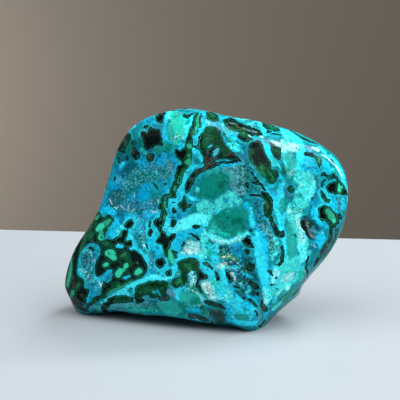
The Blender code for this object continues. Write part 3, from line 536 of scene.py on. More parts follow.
# Dark ore: closed patches and strokes, with windows left open in them.
DARK_PATCHES = {
    "square": (
        "140,133 143,131 147,133 149,128.5 150.5,126 153,128.5 160,129.5 161.5,134 162,141 163,145 "
        "158,145.5 153,147.5 147,150 144,146 143,141"
    ),
    "crown blot": "155,118 158,114.5 163,113 165.5,112.5 164,117 163,121 160,123.5 157,122 155.5,120",
    "small blot by the crown": "144,127 146,124.5 149,125 148,127.5 145.5,128.5",
    "round below the square": "147,161.5 147,157 150,153.5 153.5,154 155,157 153,160.5 149,162.5",
    "left cloud": "132,150 134,146.5 136,149 138.5,152 139.5,157 136.5,160 133,158.5 131,154",
    "left rim": "125,132 130,134 131,138 129,141 127,145 124,149 119,151 114,150 118,143 121,137",
    "top blot": "182.5,116 184,113.5 187,114.5 190,114 195,112 191,115.5 188.5,118 185,118.5",
    "wide bend": "174,150 177,149.5 180,150.5 184,148 188,150 190,155 186,160 184,165 181,162 177,157",
    "ink run": (
        "157,218 159.5,218.5 161,222 162,226 163,230 166,233 168,236 173,233 176,234 175,238 171.5,242 "
        "170,247 169,252 168,257 165.5,257 163,250 161,245 156,243.5 156,240 159,235 158.5,230 "
        "155,226.5 153.5,223"
    ),
    "claw": (
        "183,195 185.5,197 186,201.5 188,203.5 192.5,204.5 190,207 186.5,209 185,211.5 182.5,211 "
        "180,208 178,205.5 179,202.5 182,200.5"
    ),
    "branch": "187,180 191,177.5 194,181 191,187 189,192 186.5,193.5 184.5,191 185,186",
    "dark shield": (
        "206,127 213,126.5 219,129 222,136 225,143 230,149 236,155 241.5,161 234,160.5 227,159.5 "
        "221,159.5 216,160.5 211,164 207,167 203,163 203,157 199,150 198,144 199,137 203,131"
    ),
    "right shield": (
        "252.5,141.5 257,140.5 261,141 263,146 265,152 268,158 271,162 271.5,168 277,171 279,176 "
        "276,180 272,184.5 267,181 261,174 255,168 251,163 249,157 248.5,150 249.5,144.5"
    ),
    "upper right wedge": "270,141 275,145 281,148 281,158 277,160 273,156 271,150",
    "curved patch": (
        "255,195 260,194 261,192 264,191.5 268,193 271,196 273,201 273,207 272,213 270,218 266,217 "
        "264,212 263,207 265,203 263,199 259,196.5"
    ),
    "triangle": "242,242.5 246.5,237 250,236 251,241 254,246.5 253,248 248,246.5",
    "below the triangle": "244,250 247.5,248.5 250,251 249,254.5 246,253.5",
    "ivy": "247,271 246.5,266 248,262 252,262.5 255,266 254,271 250,270.5",
    "ivy below": "249,284 250,281 253,282.5 257,284 258,287 255,289.5 252,287",
    "notch": "225,270.5 228.5,271 231,274 232.5,278 232,282 230.5,284 228,280.5 226,276",
    "left notch": "215,271 218,273.5 219.5,280 217,281 215.5,276",
    "olive tip": "261.5,297 263.5,303 266,306 268,310.5 265,312 261.5,309 260.5,303",
    "big oval": (
        "318,213 318.5,208.5 321.5,205.5 326,205 330,207.5 335,212 339,217 338,223 334,226 330,224.5 "
        "326,221 322,220.5 319,218"
    ),
    "upper oval": (
        "326,187 329,184 333,182 338,180.5 342,182 345,187 347,193 343,195.5 339,194.5 334,194 329,193 "
        "326.5,190"
    ),
    "arch": (
        "304,155 305,152 309,152 313,153.5 317,156 320,157 322,160 321.5,165 319.5,168 317,164 316,160 "
        "313,157 308,156.5"
    ),
    "left drop": "124.5,225 127,221 130,218.8 133.5,220.5 134.5,224 132,227.5 128,229 125,228",
    "lower drop": "125,243 127,240.5 131,240 133,243 131.5,247 127,247 125,246",
    "nest": (
        "84,232 93,228 97,231 98,239 103,242 107,238.5 112,239.5 117,236.5 121,232 124,229.5 128,231 "
        "128,235 126,240 130,249 135,249.5 141,254 145,261 147.5,268 145,274 141,278.5 133,281 "
        "127,285.5 119,290 113,291 108,294.5 104.5,298.5 102,295 104,287 107,283 111,280 112.5,274 "
        "112,269 107,270.5 103,275 97,277 95,273 95,265 98,258 101,250 97,244 92,242 86,246 81,251 "
        "77,256 74,254"
    ),
    "left flank": (
        "76,251 80,249 79,258 77.5,265 77,272 80,277 84,281 84.5,287 89,290 88,295 86,300 84,305 76,308 "
        "70,303 60,297 60,280 62,266 68,254"
    ),
    "jade blot": (
        "97,211.5 101,213.5 103,217.5 108,215 112,216.5 114,220.5 110,226 106,231 105,237 102,243 "
        "94,243 88,244 83,249 79,253 74,250 80,240 86,230 89,222 92,215"
    ),
    "crown malachite": (
        "223,120 229,118.5 236,120 244,124 252,127.5 258,130.5 263,134 259,136.5 252,135 249,139 "
        "246,142 240,140 237,136 240,132 235,131.5 230,130 226,126"
    ),
    "top green": "206,113.5 210,112 216,114 219,118 218,121.5 212,121 208,119.5",
    "right crown": "262,122 268,123.5 274,126.5 280,130 276,131.5 270,129.5 266,129 263,126",
    "ringed eye": "288,187 291,185.5 293.5,187.5 294,191 291.5,193.5 289,192 287.5,189.5",
    "under the tail": "91,302 94.5,297 99,295.5 103,296 100,299.5 96,302.5 91,305.5 88,309 86,307 88.5,304",
    "below the ribbon": (
        "137,285 142,286.5 147,284.5 151,281.5 155,281.5 159,283 164,281 167,283 168,287 166.5,293 "
        "170,298 168,301 160,301 157,297 154,298 149,297 145,294.5 142,298 142,303 137,303 135,300 "
        "134,296 136,291"
    ),
    "left under the ribbon": (
        "108,301 113,297.5 121,296.5 127,297 132,300 134,303 127,303 120,303 113,304 109,307 104,307 "
        "103,303"
    ),
    "left bead in the ribbon": (
        "155.5,264 156,260.5 159.5,258 163.5,258.6 165.8,261.5 164.5,265 162.5,267.8 158,267.8"
    ),
    "right bead in the ribbon": "165,273 167,270.5 170.5,269.5 172,272 171,276 167,275.5",
    "olive lobe": (
        "178,268 177,264 180,260.5 184,258.5 190,257.5 196,258.5 199,262 200,268 203,273 209,277 "
        "206,280 200,280 199,287 195.5,287 197,280 197,272 192,271 189,272 187,276 187,281 184,285 "
        "178,287.5 173,287.5 172,283 174,279 180,276.5 181,272"
    ),
}
DARK_STROKES = {
    "left specks": (
        "127,158.5,1.6; 115,178.5,1.8 114.5,180,1.4; 118.5,159,1.3 119,161.5,1.2; "
        "121,150.5,1.2 124,151.5,1"
    ),
    # a dark line along the left silhouette: partly the stone's ore, partly painted shade where the surface
    # turns away
    "left edge line with painted shade": "113,163,0.6 110,172,0.6 108,180,0.6 106,190,0.6",
    "crown edge": "146,118,0.7 153,114,0.7 161,111.5,0.8 166,111,0.6; 179,109,0.7 188,109,0.8",
    "malachite band": (
        "197,113.5,1 195,118,1.6 194,124,2 192.5,128,2 190.5,133,2 189.5,140,3 188.5,147,4 "
        "187.5,154,4.5 187.5,161,4.6 185,166,3.4 181,168,3.6"
    ),
    "malachite band below": "181,168,3.6 179,174,4 178,181,4 175,187,3.6 172.5,193,3.2 174,196,2.2",
    "band's right arm": "199,123,2 200,127,1; 193,146,1 198,147.5,1.2; 188,143,2 190,139,2",
    "turn to the left": (
        "174,196,2.2 168,196,1.8 164,196.5,2 162.8,201,2 162.5,207,2 163.5,213,2.4 163,218,2.8 "
        "161,224,2.5"
    ),
    "ore on the left arm": "167,200,1.2 167,207,1; 166,214,1.5",
    "brown band": "202,170,2 197,172.5,2.6 192,176.5,2.2 190,181,2.8",
    "ledge": "241,161.5,0.7 232,162,0.9 222,162.5,1.2 214,164.5,2.4 208,167,2.6 202,170,2",
    "under the ribbon": (
        "88,304,0.8 93,302,1.4 98,300.5,1.2; "
        "109,300,1.8 114,299,2.4 120,298,2.8 126,297.5,2.6 131,298.5,1.8"
    ),
    "under the ribbon's end": (
        "137,290,2.4 142,287,3 149,285,3.4 156,284,3.6 163,284,3 168,284.5,2; 138,295,2 144,293,2.4"
    ),
    "round marks": (
        "174,209,1.6 174.3,212,1.8; 173.3,222,2.7 172.8,224.5,2.6; "
        "193.5,226.3,1.3 196.5,226.8,2.2 199,226.5,1.4"
    ),
    "slit": "188,233.5,0.7 192,234.5,1.2 196,237,1.4 199,239.3,0.8",
    "small marks": (
        "182,246,0.8 184,242.5,1; 172.5,251,0.9 175,253.3,1.3 177.2,252.5,1; "
        "172,202.8,0.4 175,202.3,0.5; 170,217,0.5 173,217.3,0.5; 177,188.5,1"
    ),
    "shield tongue": "209.5,116,2 209,119,1.4; 201,113,0.6 200,120,0.6 200.5,125,0.8",
    "green streaks at the top": (
        "247.5,126.5,0.6 254,129.2,0.8 259,131,0.7; 229,126,1.5 234,130,1.4; 242,131,1 242,134,1; "
        "230,118,0.6 236,120,0.8; 252,135,0.8 257,134.5,0.7"
    ),
    "top right dot": "267,132.8,1 269,131.6,1.6 271,131.5,1; 272,134,0.7 281,135,0.7",
    "above the right shield": "247,141,1.3 251,139,1.2",
    "dark edge of the crack": "252,173,0.7 256,179,0.8 262,186,1 265,190,1.2",
    "specks by the crack": (
        "246.5,183,1.1 248,187,0.9; 250,195,0.8 255,195,0.9; 252,182,0.7 258,184,1; 265,199,0.8"
    ),
    "below the curved patch": (
        "270.5,217,1.5 272,222,1.8 275,228,2.4 278,234,2.5 280,236,1.4; 283,232,1.6 283.5,236,1.4"
    ),
    "ring of the left oval": "90,248,0.9 94,250,0.6",
    "beside the druse": "104,283,1.4 104,290,1.9 103,297,1.9",
    "arc in the ribbon": "203,263,0.8 206.5,263.5,1.3 209.5,266,1.5 212,269,0.9; 205.5,275,1.2",
    "left stroke in the pocket": "219,248,0.8 224,248,1 228,250,1",
    "right of the ridge": (
        "268.5,271.5,1.3 270.5,272,1.4 272.5,274.5,0.8; 276,278,0.7; 271,285,0.7 274.5,284.5,1.2; "
        "275.8,264.2,1; 277,289,0.6"
    ),
    "pocket depths": (
        "242,298.5,1.3 245,298,1.1; 249,299,0.8 253,302.5,1.4 256,306,1.2; "
        "255,310.5,0.6 257.5,315.5,0.7; 257,294,1.2 261.5,291.5,1.4; 246,285,0.9; 258,270,0.7; "
        "238,287,1 234,287,0.8"
    ),
    "stripe down the right": "282,247,1.4 283,254,1.6 282,261,1.9 279.5,264,1.6",
    "below the big oval": "328.5,221,2.3 330.5,225,1.7 335,226.5,1.2",
    "under the upper oval": (
        "322,192,1.6 323.5,196,2.4 326,200,2.4 329,201,1.2; 322.5,182,1.2 322,187,1.1; "
        "322,175,1.4 325,173.5,1"
    ),
    "beside the jade": "342,186,0.9 345,189.5,1.1 347,194,0.8 342.5,193,0.7",
    "above the upper oval": "324,175,1 329,177.5,2.2 334,176,2.2 337.5,179.5,1.2; 325,180,1",
    "top edge": "290,130.5,1 296,134,0.8 303,138.2,1.8 308,140.6,1.9 314,142.7,1.1 318,144.4,0.7",
    "rim line": "331,159,0.7 334.5,164,0.8",
    "right edge blots": "339,214,1.2 341,218,1.3; 338,223,0.8",
    "right edge slate": "331,230,2.2 330.5,238,2.2 326,245,2.8 322,252,2.6 318,259,2.2 315,265,1.6",
    "seam to the chip": "308.5,257,0.7 306.5,263,0.8 306,268,0.9 307.5,274,1.6 308,277,1.2",
    "lower edge": "300,287,1.4 296.5,291.5,1.7 291.5,297,0.8",
    "slate at the bottom": "104,308,3 106,312,2.6; 80,308,4 86,310,3",
    "dark foot": (
        "205.5,301.5,1.6 212,303.5,2.4 219,305.5,2 224,308,1.6; 190,316,2.5 198,317,2.5 206,320,2.5; "
        "264,322,2 260,326,2"
    ),
    "green notch": "199.5,287,1.4 201,292,1.2; 170.5,284,1; 175.5,257,1.9",
    "nest's right lip": "143,300,1.2",
    "triangle's tail": "246,235.5,0.4",
    "cream edges": "146,244,0.6 147.5,248,0.6; 160,204,0.7 159,209,0.6; 154,184,0.8 158,189,0.8",
    "small blots in the blue": (
        "158.5,273.5,1.2; 150,222,1.2 149.5,226,1; 150.8,231,2.3 149.8,234,2.1; 165.5,184,1; "
        "303.5,238,0.8"
    ),
}
WINDOWS = {
    "inclusion in the nest": "115,245.5,0.8 118,246.5,2.4 121.5,246.5,2.4; 111,244.5,0.3",
    "blue wedge in the nest": "123,278,0.8 126,277.5,1.7 129.5,275.5,1",
    "blue in the shield": "214.5,154.5,2 216,152,2.6 217.5,149.5,1.6; 208.5,147.5,0.9 211,146,1.3",
    "blue below the ribbon": "153,292,1.6 157,291,1.6 160,295,1.2; 146,298,1.6",
    "by the lobe": "190,275,1.6 192,280,2 190.5,284,1.5; 178.5,272,1.2",
    "nest's notch": "100,243,0.5",
}

# What the dark ore is inside: washes over ink.
INNER = [
    (
        "fir", 3,
        "112,246,2 104,245,2; 127,256,4 130,262,2; 120,262,2; 117,284,4 113,286,2; 96,225,3 93,221,2; "
        "139,277,3; 128,272,2",
    ),
    ("slate", 3, "85,238,3 88,232,3 82,246,3; 92,224,2"),
    ("smoke", 1.5, "88,236,1.2 90,232,1; 84,242,0.8"),
    ("fern", 2, "107,243.5,1.2; 120,236,2 122,233,1; 118,285,1.4; 137,262,1.2; 113,249,0.8"),
    ("moss", 4, "80,262,3 79,285,3; 84,298,3"),
    ("fir", 2, "77,287,2 74.5,291,2; 74,257,1.5; 72.5,266,1 71,278,1"),
    ("umber", 3, "76,300,4; 74,288,1.5 73,275,1; 82,296,2; 92,241,1.5; 140,245,2"),
    ("slate", 3, "84,236,3 88,233,3 85,243,2; 120,144,4 124,142,4 122,148,2; 78,304,5 86,307,6"),
    ("moss", 2.5, "127,135,3 129,139,2.5; 122,139,1.5"),
    ("moss", 3, "190,133,4 189,142,4 187,152,5 186,168,4 180,176,5 175,188,4 164,205,4 165,216,4 163,228,2"),
    ("fir", 2, "188.5,154,3.5 188,165,3; 189,141,2; 181,176,2.5"),
    ("moss", 3, "208,135,5 211,140,4; 219,146,4 224,153,4; 205,143,3; 214,131,3"),
    ("fir", 3, "208,131,2.5 212,133,1.5; 207,140,3; 219,146,3 222,150,2; 225,155,2"),
    ("umber", 3, "206,158,3 210,163,4 203,168,3; 228,154,2; 197,172,2; 191,180,2"),
    ("slate", 2, "214,158,3; 218,162,2; 208,152,2"),
    ("fir", 4, "258,155,10 256,165,8 265,170,8 272,176,6 266,178,5; 276,152,4"),
    ("moss", 5, "258,148,5 262,156,5 268,164,4; 276,154,3"),
    ("moss", 2, "257,145,3.5 259,152,4.5 263,159,4.5 267,162,2"),
    ("fern", 1.5, "271,178,1.2 273,181,0.8; 268,170,0.8; 254,166,0.8 260,172,0.8"),
    ("fern", 2, "271,176,1.5 274,179,1; 262,168,2; 252,160,1.5; 268,172,1"),
    ("moss", 3, "266,200,5 268,210,4; 271,178,2"),
    ("olive", 2, "268,208,1.5 266,202,1.5; 268,212,1; 261,196,1"),
    ("moss", 2, "183,205,4 188,205,2; 186,200,1"),
    ("olive", 2, "188,205,1.2; 191,205,0.8; 185,207,1"),
    ("moss", 4, "182,264,5 180,282,6 190,262,6 196,268,4; 184,276,3"),
    ("fir", 2, "183,262,3 180,270,2; 191,262,3 195,267,2"),
    ("fern", 2.5, "178,283,3 181,280,2; 188,266,3 190,270,2; 183,284,1.5"),
    ("moss", 2, "173,284,1.5; 186,280,1.5; 180,268,1.5"),
    ("pitch", 2, "199,266,2 203,272,2.5 206,278,2; 190,257,1.5 184,258,1.5"),
    ("umber", 2, "181,270,1.5; 198,264,2 200,270,2; 206,277,2; 196,262,1.5"),
    ("fir", 3, "140,290,4 150,287,5 160,287,6 145,292,3; 154,293,3; 164,293,2"),
    ("moss", 3, "150,284,3 158,285,3 166,285,2; 138,288,2"),
    ("slate", 2, "155,300,2 163,299,3 168,299,2; 190,316,2 198,317,2 206,320,2; 107,309,3"),
    ("umber", 2, "103,305,2"),
    (
        "fern", 2,
        "115,302,1.2 120,300,1.2; 98,300,1; 93,303,0.8; 141,293,0.8; 147,288,0.6 152,289,0.8; "
        "103,302,0.8",
    ),
    ("fir", 3, "118,300,4 128,300,4; 95,301,3"),
    ("slate", 3, "218,312,6 220,318,5 223,322,3; 213,308,3; 326,246,3 321,254,3 330,236,2; 216,303,2"),
    ("jade", 2, "333,236,0.8 334,233,1; 328,244,0.8; 319,256,1.5"),
    ("fir", 2, "251,268,3; 254,285,3; 248,251,2; 247,242,1.5; 292,190,3; 325,199,3; 318,160,4; 330,178,3"),
    ("olive", 2, "264,309,2.5 263,304,1.5; 254,284,1; 251,265,1"),
    ("umber", 2.5, "307,228,4; 216,275,1.5; 207,264,2; 337,216,1; 297,291,1.5"),
    (
        "deep teal", 2,
        "328,223,1.5; 137,156,1; 119,160,1.5; 124,151,1; 323,184,2; 243,298,1; 330,176,1.5; 307,274,1",
    ),
    ("slate", 1.5, "272,225,1.5; 308,141,1.5; 333,162,1"),
    (
        "fir", 2,
        "228,128,3 236,130,3 244,134,4 250,138,3; 210,117,4 215,119,3; 268,126,3 275,129,2; 291,189,2",
    ),
    ("fern", 1.5, "211,114,1 214,116,1; 226,124,1; 243,133,1.5; 269,126,1 274,128.5,0.8; 257,135.5,0.8"),
    # pale steel streaks on the crown ore: partly the stone's colour, partly painted glints
    ("steel", 2.2, "228,121.5,0.4 236,124,0.5; 243,127.5,0.4 249,130.3,0.6 255,132.8,0.9"),
    ("cream", 1.4, "253,132,0.4 256,133,0.4"),
    (
        "pitch", 1.5,
        "232,125.5,1 238,128.5,1; 245,127,0.8 250,128.7,0.8; 335,222,1.5 338,218,1.5; "
        "344,190,1.5 345,193,1.5",
    ),
    (
        "pitch", 2,
        "195,114,2 192,122,2 189.5,131,2.2 186.5,139,2.5 182,149,5 182,160,5 178,169,4 175,178,3.5 "
        "172,189,3; 143,133,5 152,137,8 150,143,6; 160,117,4",
    ),
    ("moss", 2.5, "206,133,4 214,131,4 219,141,4 226,150,5; 202,145,3 204,153,2"),
    ("fir", 1.5, "189.5,153,2.5 188.5,167,2.5; 183,173,1.5"),
    ("moss", 2, "121,140,3 123,146,2.5; 119,152,2"),
    ("umber", 2, "133,152,2.5; 150,157,2.5"),
    ("fir", 2, "90,228,2 86,237,2.5 82,246,2; 95,232,1.5; 78,254,1.5"),
    ("slate", 2, "92,230,1 88,240,1.2; 84,243,1"),
    ("ink", 3, "256,146,4 259,153,5 263,160,4; 253,156,3 257,163,3; 268,165,2"),
    ("pitch", 2, "331,186,4 329,190,3; 323,211,4 322,216,3"),
    ("fern", 1.2, "262,172,0.8 266,177,0.8; 270,172,0.6 274,178,0.7; 265,167,0.6"),
    ("pitch", 1.5, "246,241,3 250,243,3 252,246,2; 247,251,2.5; 227,273,2 230,278,2.5"),
    ("olive", 2, "230,123,1.2 238,127,1.4 246,130,1.5"),
]

# Beads of light malachite, ringed: (pigment, strokes).
BEADS = {
    "strip in the band": ("jade", "198.5,115,0.8 197.2,120,1.5 197.8,126,1.7 198.3,128.5,1"),
    "dull bead at the top": ("fern", "193.5,131.5,1.8 194,134.5,1.2"),
    "upper bead": ("jade", "189.2,146.2,3.2"),
    "middle bead": ("jade", "188.6,162,3.8; 189,155.5,1.8"),
    "dull bead": ("fern", "184,171,1.8 183,174,1; 186.5,172,1"),
    "lower bead": ("jade", "180,178,2.4 179,182,2.2"),
    "small beads": ("jade", "175.4,186.5,1.4 174.8,189.5,1.8"),
    "olive beads": (
        "jade",
        "164.8,197.5,1 165.3,199,0.9; 165,204.5,1.5 165.2,207.5,1.2; 164.8,216.5,1.5 164.2,219,1.1; "
        "168,203,0.6",
    ),
    "great eyes": ("mint", "107.3,253.5,2.9 110,251.5,2.6 113.5,253,2.6; 113.5,257.5,3.4 110.5,256.5,2.6"),
    "small eye": ("mint", "105,265.3,2.2 107,264.3,2.3"),
    "right eye": ("mint", "124.8,267.3,2.3 127,264.8,2.5"),
    "lower eye": ("mint", "118,274,3.6 120.5,271.3,3.4; 124,270,1.6"),
    "far right eye": ("mint", "137,272.8,3.1 139.5,271,3.2"),
    "dull eyes": ("fern", "122.5,256,2 125,253.5,2.2; 118.8,286,1.1; 105.5,244,1; 131,264,1.1; 128,260,0.8"),
    "left blot": (
        "jade",
        "97.5,229,2.8 102,226,3.8 106.5,222.8,3.4 110,220.5,2; 101,231,3 100.8,237,3.6; "
        "96.5,218,2.6 98.5,215.8,1.8",
    ),
    "rim of the flank": (
        "fern",
        "92,226,1 89.5,230,1.3; 87,235,1.2 84.5,240,1.4; 93,233,1 91,238,1.2; 82,246,1 80.5,250,1; "
        "96,223,0.8",
    ),
    "left blot's light side": ("mint", "98,228.5,1.4 101.5,226,1.6; 99.5,238,1.3 102.5,238.5,1.3"),
    "flank stripe": ("jade", "71.8,258,1.5 71,267,2.4 69.5,276,2.8 67.5,285,2.6"),
    "flank bead": ("jade", "73,292,2.6 71.5,296.5,2; 77,288,1 79,284,1"),
    "right jade": ("jade", "327.5,210.5,2.6 331,215,3.8 334,220.5,3.2; 329.5,217,2.4"),
    "right jade's foot": ("mint", "334,221,1.1"),
    "upper right jade": ("mint", "339,184.5,1.6 339.6,190,2.6; 342,187,1.6"),
    "arch bead": ("jade", "319,158.5,1 319.2,162,1.1"),
    "mint over the ribbon": (
        "jade",
        "106.5,295,0.9 109,291.8,1.3 114,289.5,1.4 120,288.3,1.2 126,284.5,1.2 132,280.8,0.9",
    ),
    "mint drop": ("mint", "169.5,250.5,1.6 170.5,256,2.8 172.3,261,2.6"),
    "strip by the ribbon": ("jade", "169.5,281,0.9 169.5,286,1.1"),
    "lobe's light edge": ("pale mint", "176.5,274.5,0.9 180,272.5,0.9"),
    "lobe's inner line": (
        "fern",
        "185.8,269,0.35 184.3,265,0.4 187.2,261.6,0.4 192,260.6,0.4 193.6,265,0.4 194.6,270,0.4",
    ),
    "ring in the shield": (
        "fern",
        "211,137.5,0.45 207.5,138,0.55 205.5,141,0.6 205.2,145,0.6; 209.5,131,0.5 211,127.5,0.5; "
        "206.5,136,0.5",
    ),
    "wave below the ribbon": (
        "fern",
        "139,297,0.5 140.5,293.5,0.5 144.5,292.5,0.5 146.5,289.5,0.5 150,288.5,0.5; "
        "115,301,0.5 119,299.5,0.5 123,302,0.5",
    ),
    "steel outline of the foot patch": ("slate", "210,313,0.8 209.3,317,0.8 212,321.5,0.9 218,325,0.9"),
}
BEAD_PUPILS = {
    "eye of the nest": "108.6,253,0.8",
    "left blot": "101.2,237.3,0.9; 105.5,224.5,0.5",
    "lower bead": "180,178.6,1.1 179.2,181.6,0.8",
}

# Pale crystal specks and lines.
PALE = {
    "squiggle": (
        "179.7,134.5,0.5 178.3,136.2,0.4 175.5,136.2,0.45 174.2,138.5,0.5; "
        "173.3,140.7,0.6 175.5,141,0.35; 176.8,131.5,0.4"
    ),
    "beside the squiggle": "182.5,136,0.5 182.8,139,0.5",
    "upper specks": "168.3,161.5,0.3; 166.5,173.5,0.5; 169,171.8,0.4; 156,168.3,0.4 157.2,170.5,0.3",
    "left specks": (
        "157.3,199,0.4 158,202.5,0.5; 150.5,210.5,0.4 153,212,0.4 156.5,212.3,0.5 158,210,0.4; "
        "150.5,203,0.4 152.5,204.5,0.4"
    ),
    "sparks": (
        "134.5,193,0.4 134.6,196,0.4; 128.6,205,0.45 129,208,0.35 128,210.5,0.5; "
        "114,207,0.4 116,209,0.6 117.5,207,0.4; 131.5,211,0.5 133.8,209.2,0.5"
    ),
    "sparks left": "109.3,198.5,0.4 110.5,201,0.5 112,204,0.6; 142,176,0.5; 121,206,0.4 124,208.5,0.5",
    "cream line": (
        "137.6,215.5,0.4; 138.4,219,0.4; 139,222.5,0.5; 141,226,0.5; 143.3,228.8,0.6; 145,231.4,0.6; "
        "144,234.5,0.5; 141,238,0.5; 142.2,241.5,0.7; 144,245,1.3 145,246,1; 146.3,249,0.6; "
        "145.6,252.5,0.5; 148.5,255,0.4"
    ),
    "cream line below": "152.2,258,0.5; 153.6,260.3,0.5; 151.3,263,0.7; 150.7,266,0.5; 151.6,268.5,0.4",
    "oval's veins": (
        "89.3,250.3,0.3 90.8,252.8,0.5 92,256.3,0.6; 93,259.7,0.4 92.2,262.5,0.3; "
        "91.7,266.5,0.4 91,270.5,0.4; 89.5,274.3,0.5 87.2,277.6,0.5"
    ),
    "oval's arcs": "80.5,268.5,0.3 82,271.5,0.4 84.5,272.7,0.5 87.5,270.5,0.3; 94,262,0.3 95.5,258,0.3",
    "druse streaks": "98.8,280.5,0.4 100.3,284.5,0.8 102.5,282.8,0.5 100.3,286.8,0.6 98,287.3,0.5",
    "sparks in the blue": (
        "118.3,245.3,0.8; 118.5,231.5,0.5; 124,227.5,0.4; 209,122.3,0.5 208.7,124.5,0.4; "
        "226.5,135.7,0.7; 236.5,148.7,0.6; 231,134,0.3"
    ),
    "top white": "248.5,135.3,0.5 251,136.8,0.5; 260,136,0.7 262.8,137.3,0.6",
    "cream druse": (
        "231,257.5,0.7 234.5,256.5,0.5; 238,260,0.6; 227,261.5,0.6; 222.5,264,0.7 225,265,0.6; "
        "230,264.5,0.7"
    ),
    "white druse": (
        "232,269,0.6 234,268.5,0.5; 236.8,271.5,0.5; 234,274,0.6; 235,276.5,0.8; "
        "233.5,279.5,0.6 236,281,0.6; 243,285.5,0.6; 245.5,293.3,0.6; 256.5,307.5,0.5"
    ),
    "ridge's white": "262.3,288,0.4 262.8,293,0.5 264,298,0.7 265,303,0.5",
    "crevice rim": (
        "288.3,207.3,0.3 291.5,210.8,0.3 296,211.7,0.35 300,210.9,0.3 303.5,209.6,0.3; "
        "286.5,208,0.3 290,212,0.25; 292,215.5,0.25 297,216.3,0.3; 303,214.5,0.25 305.5,216.5,0.3"
    ),
    # the pale left lip of the vug: partly crystal, partly painted highlight
    "vug rim with painted glints": (
        "304.2,217,0.35 301,220.5,0.45 300,224.5,0.5 301.5,227.8,0.4 303.3,230,0.5 304.3,232.3,0.3; "
        "310.5,243.8,0.3 314.5,246.3,0.45 317,247.7,0.3; 320,232,0.3 324,232.8,0.35"
    ),
}

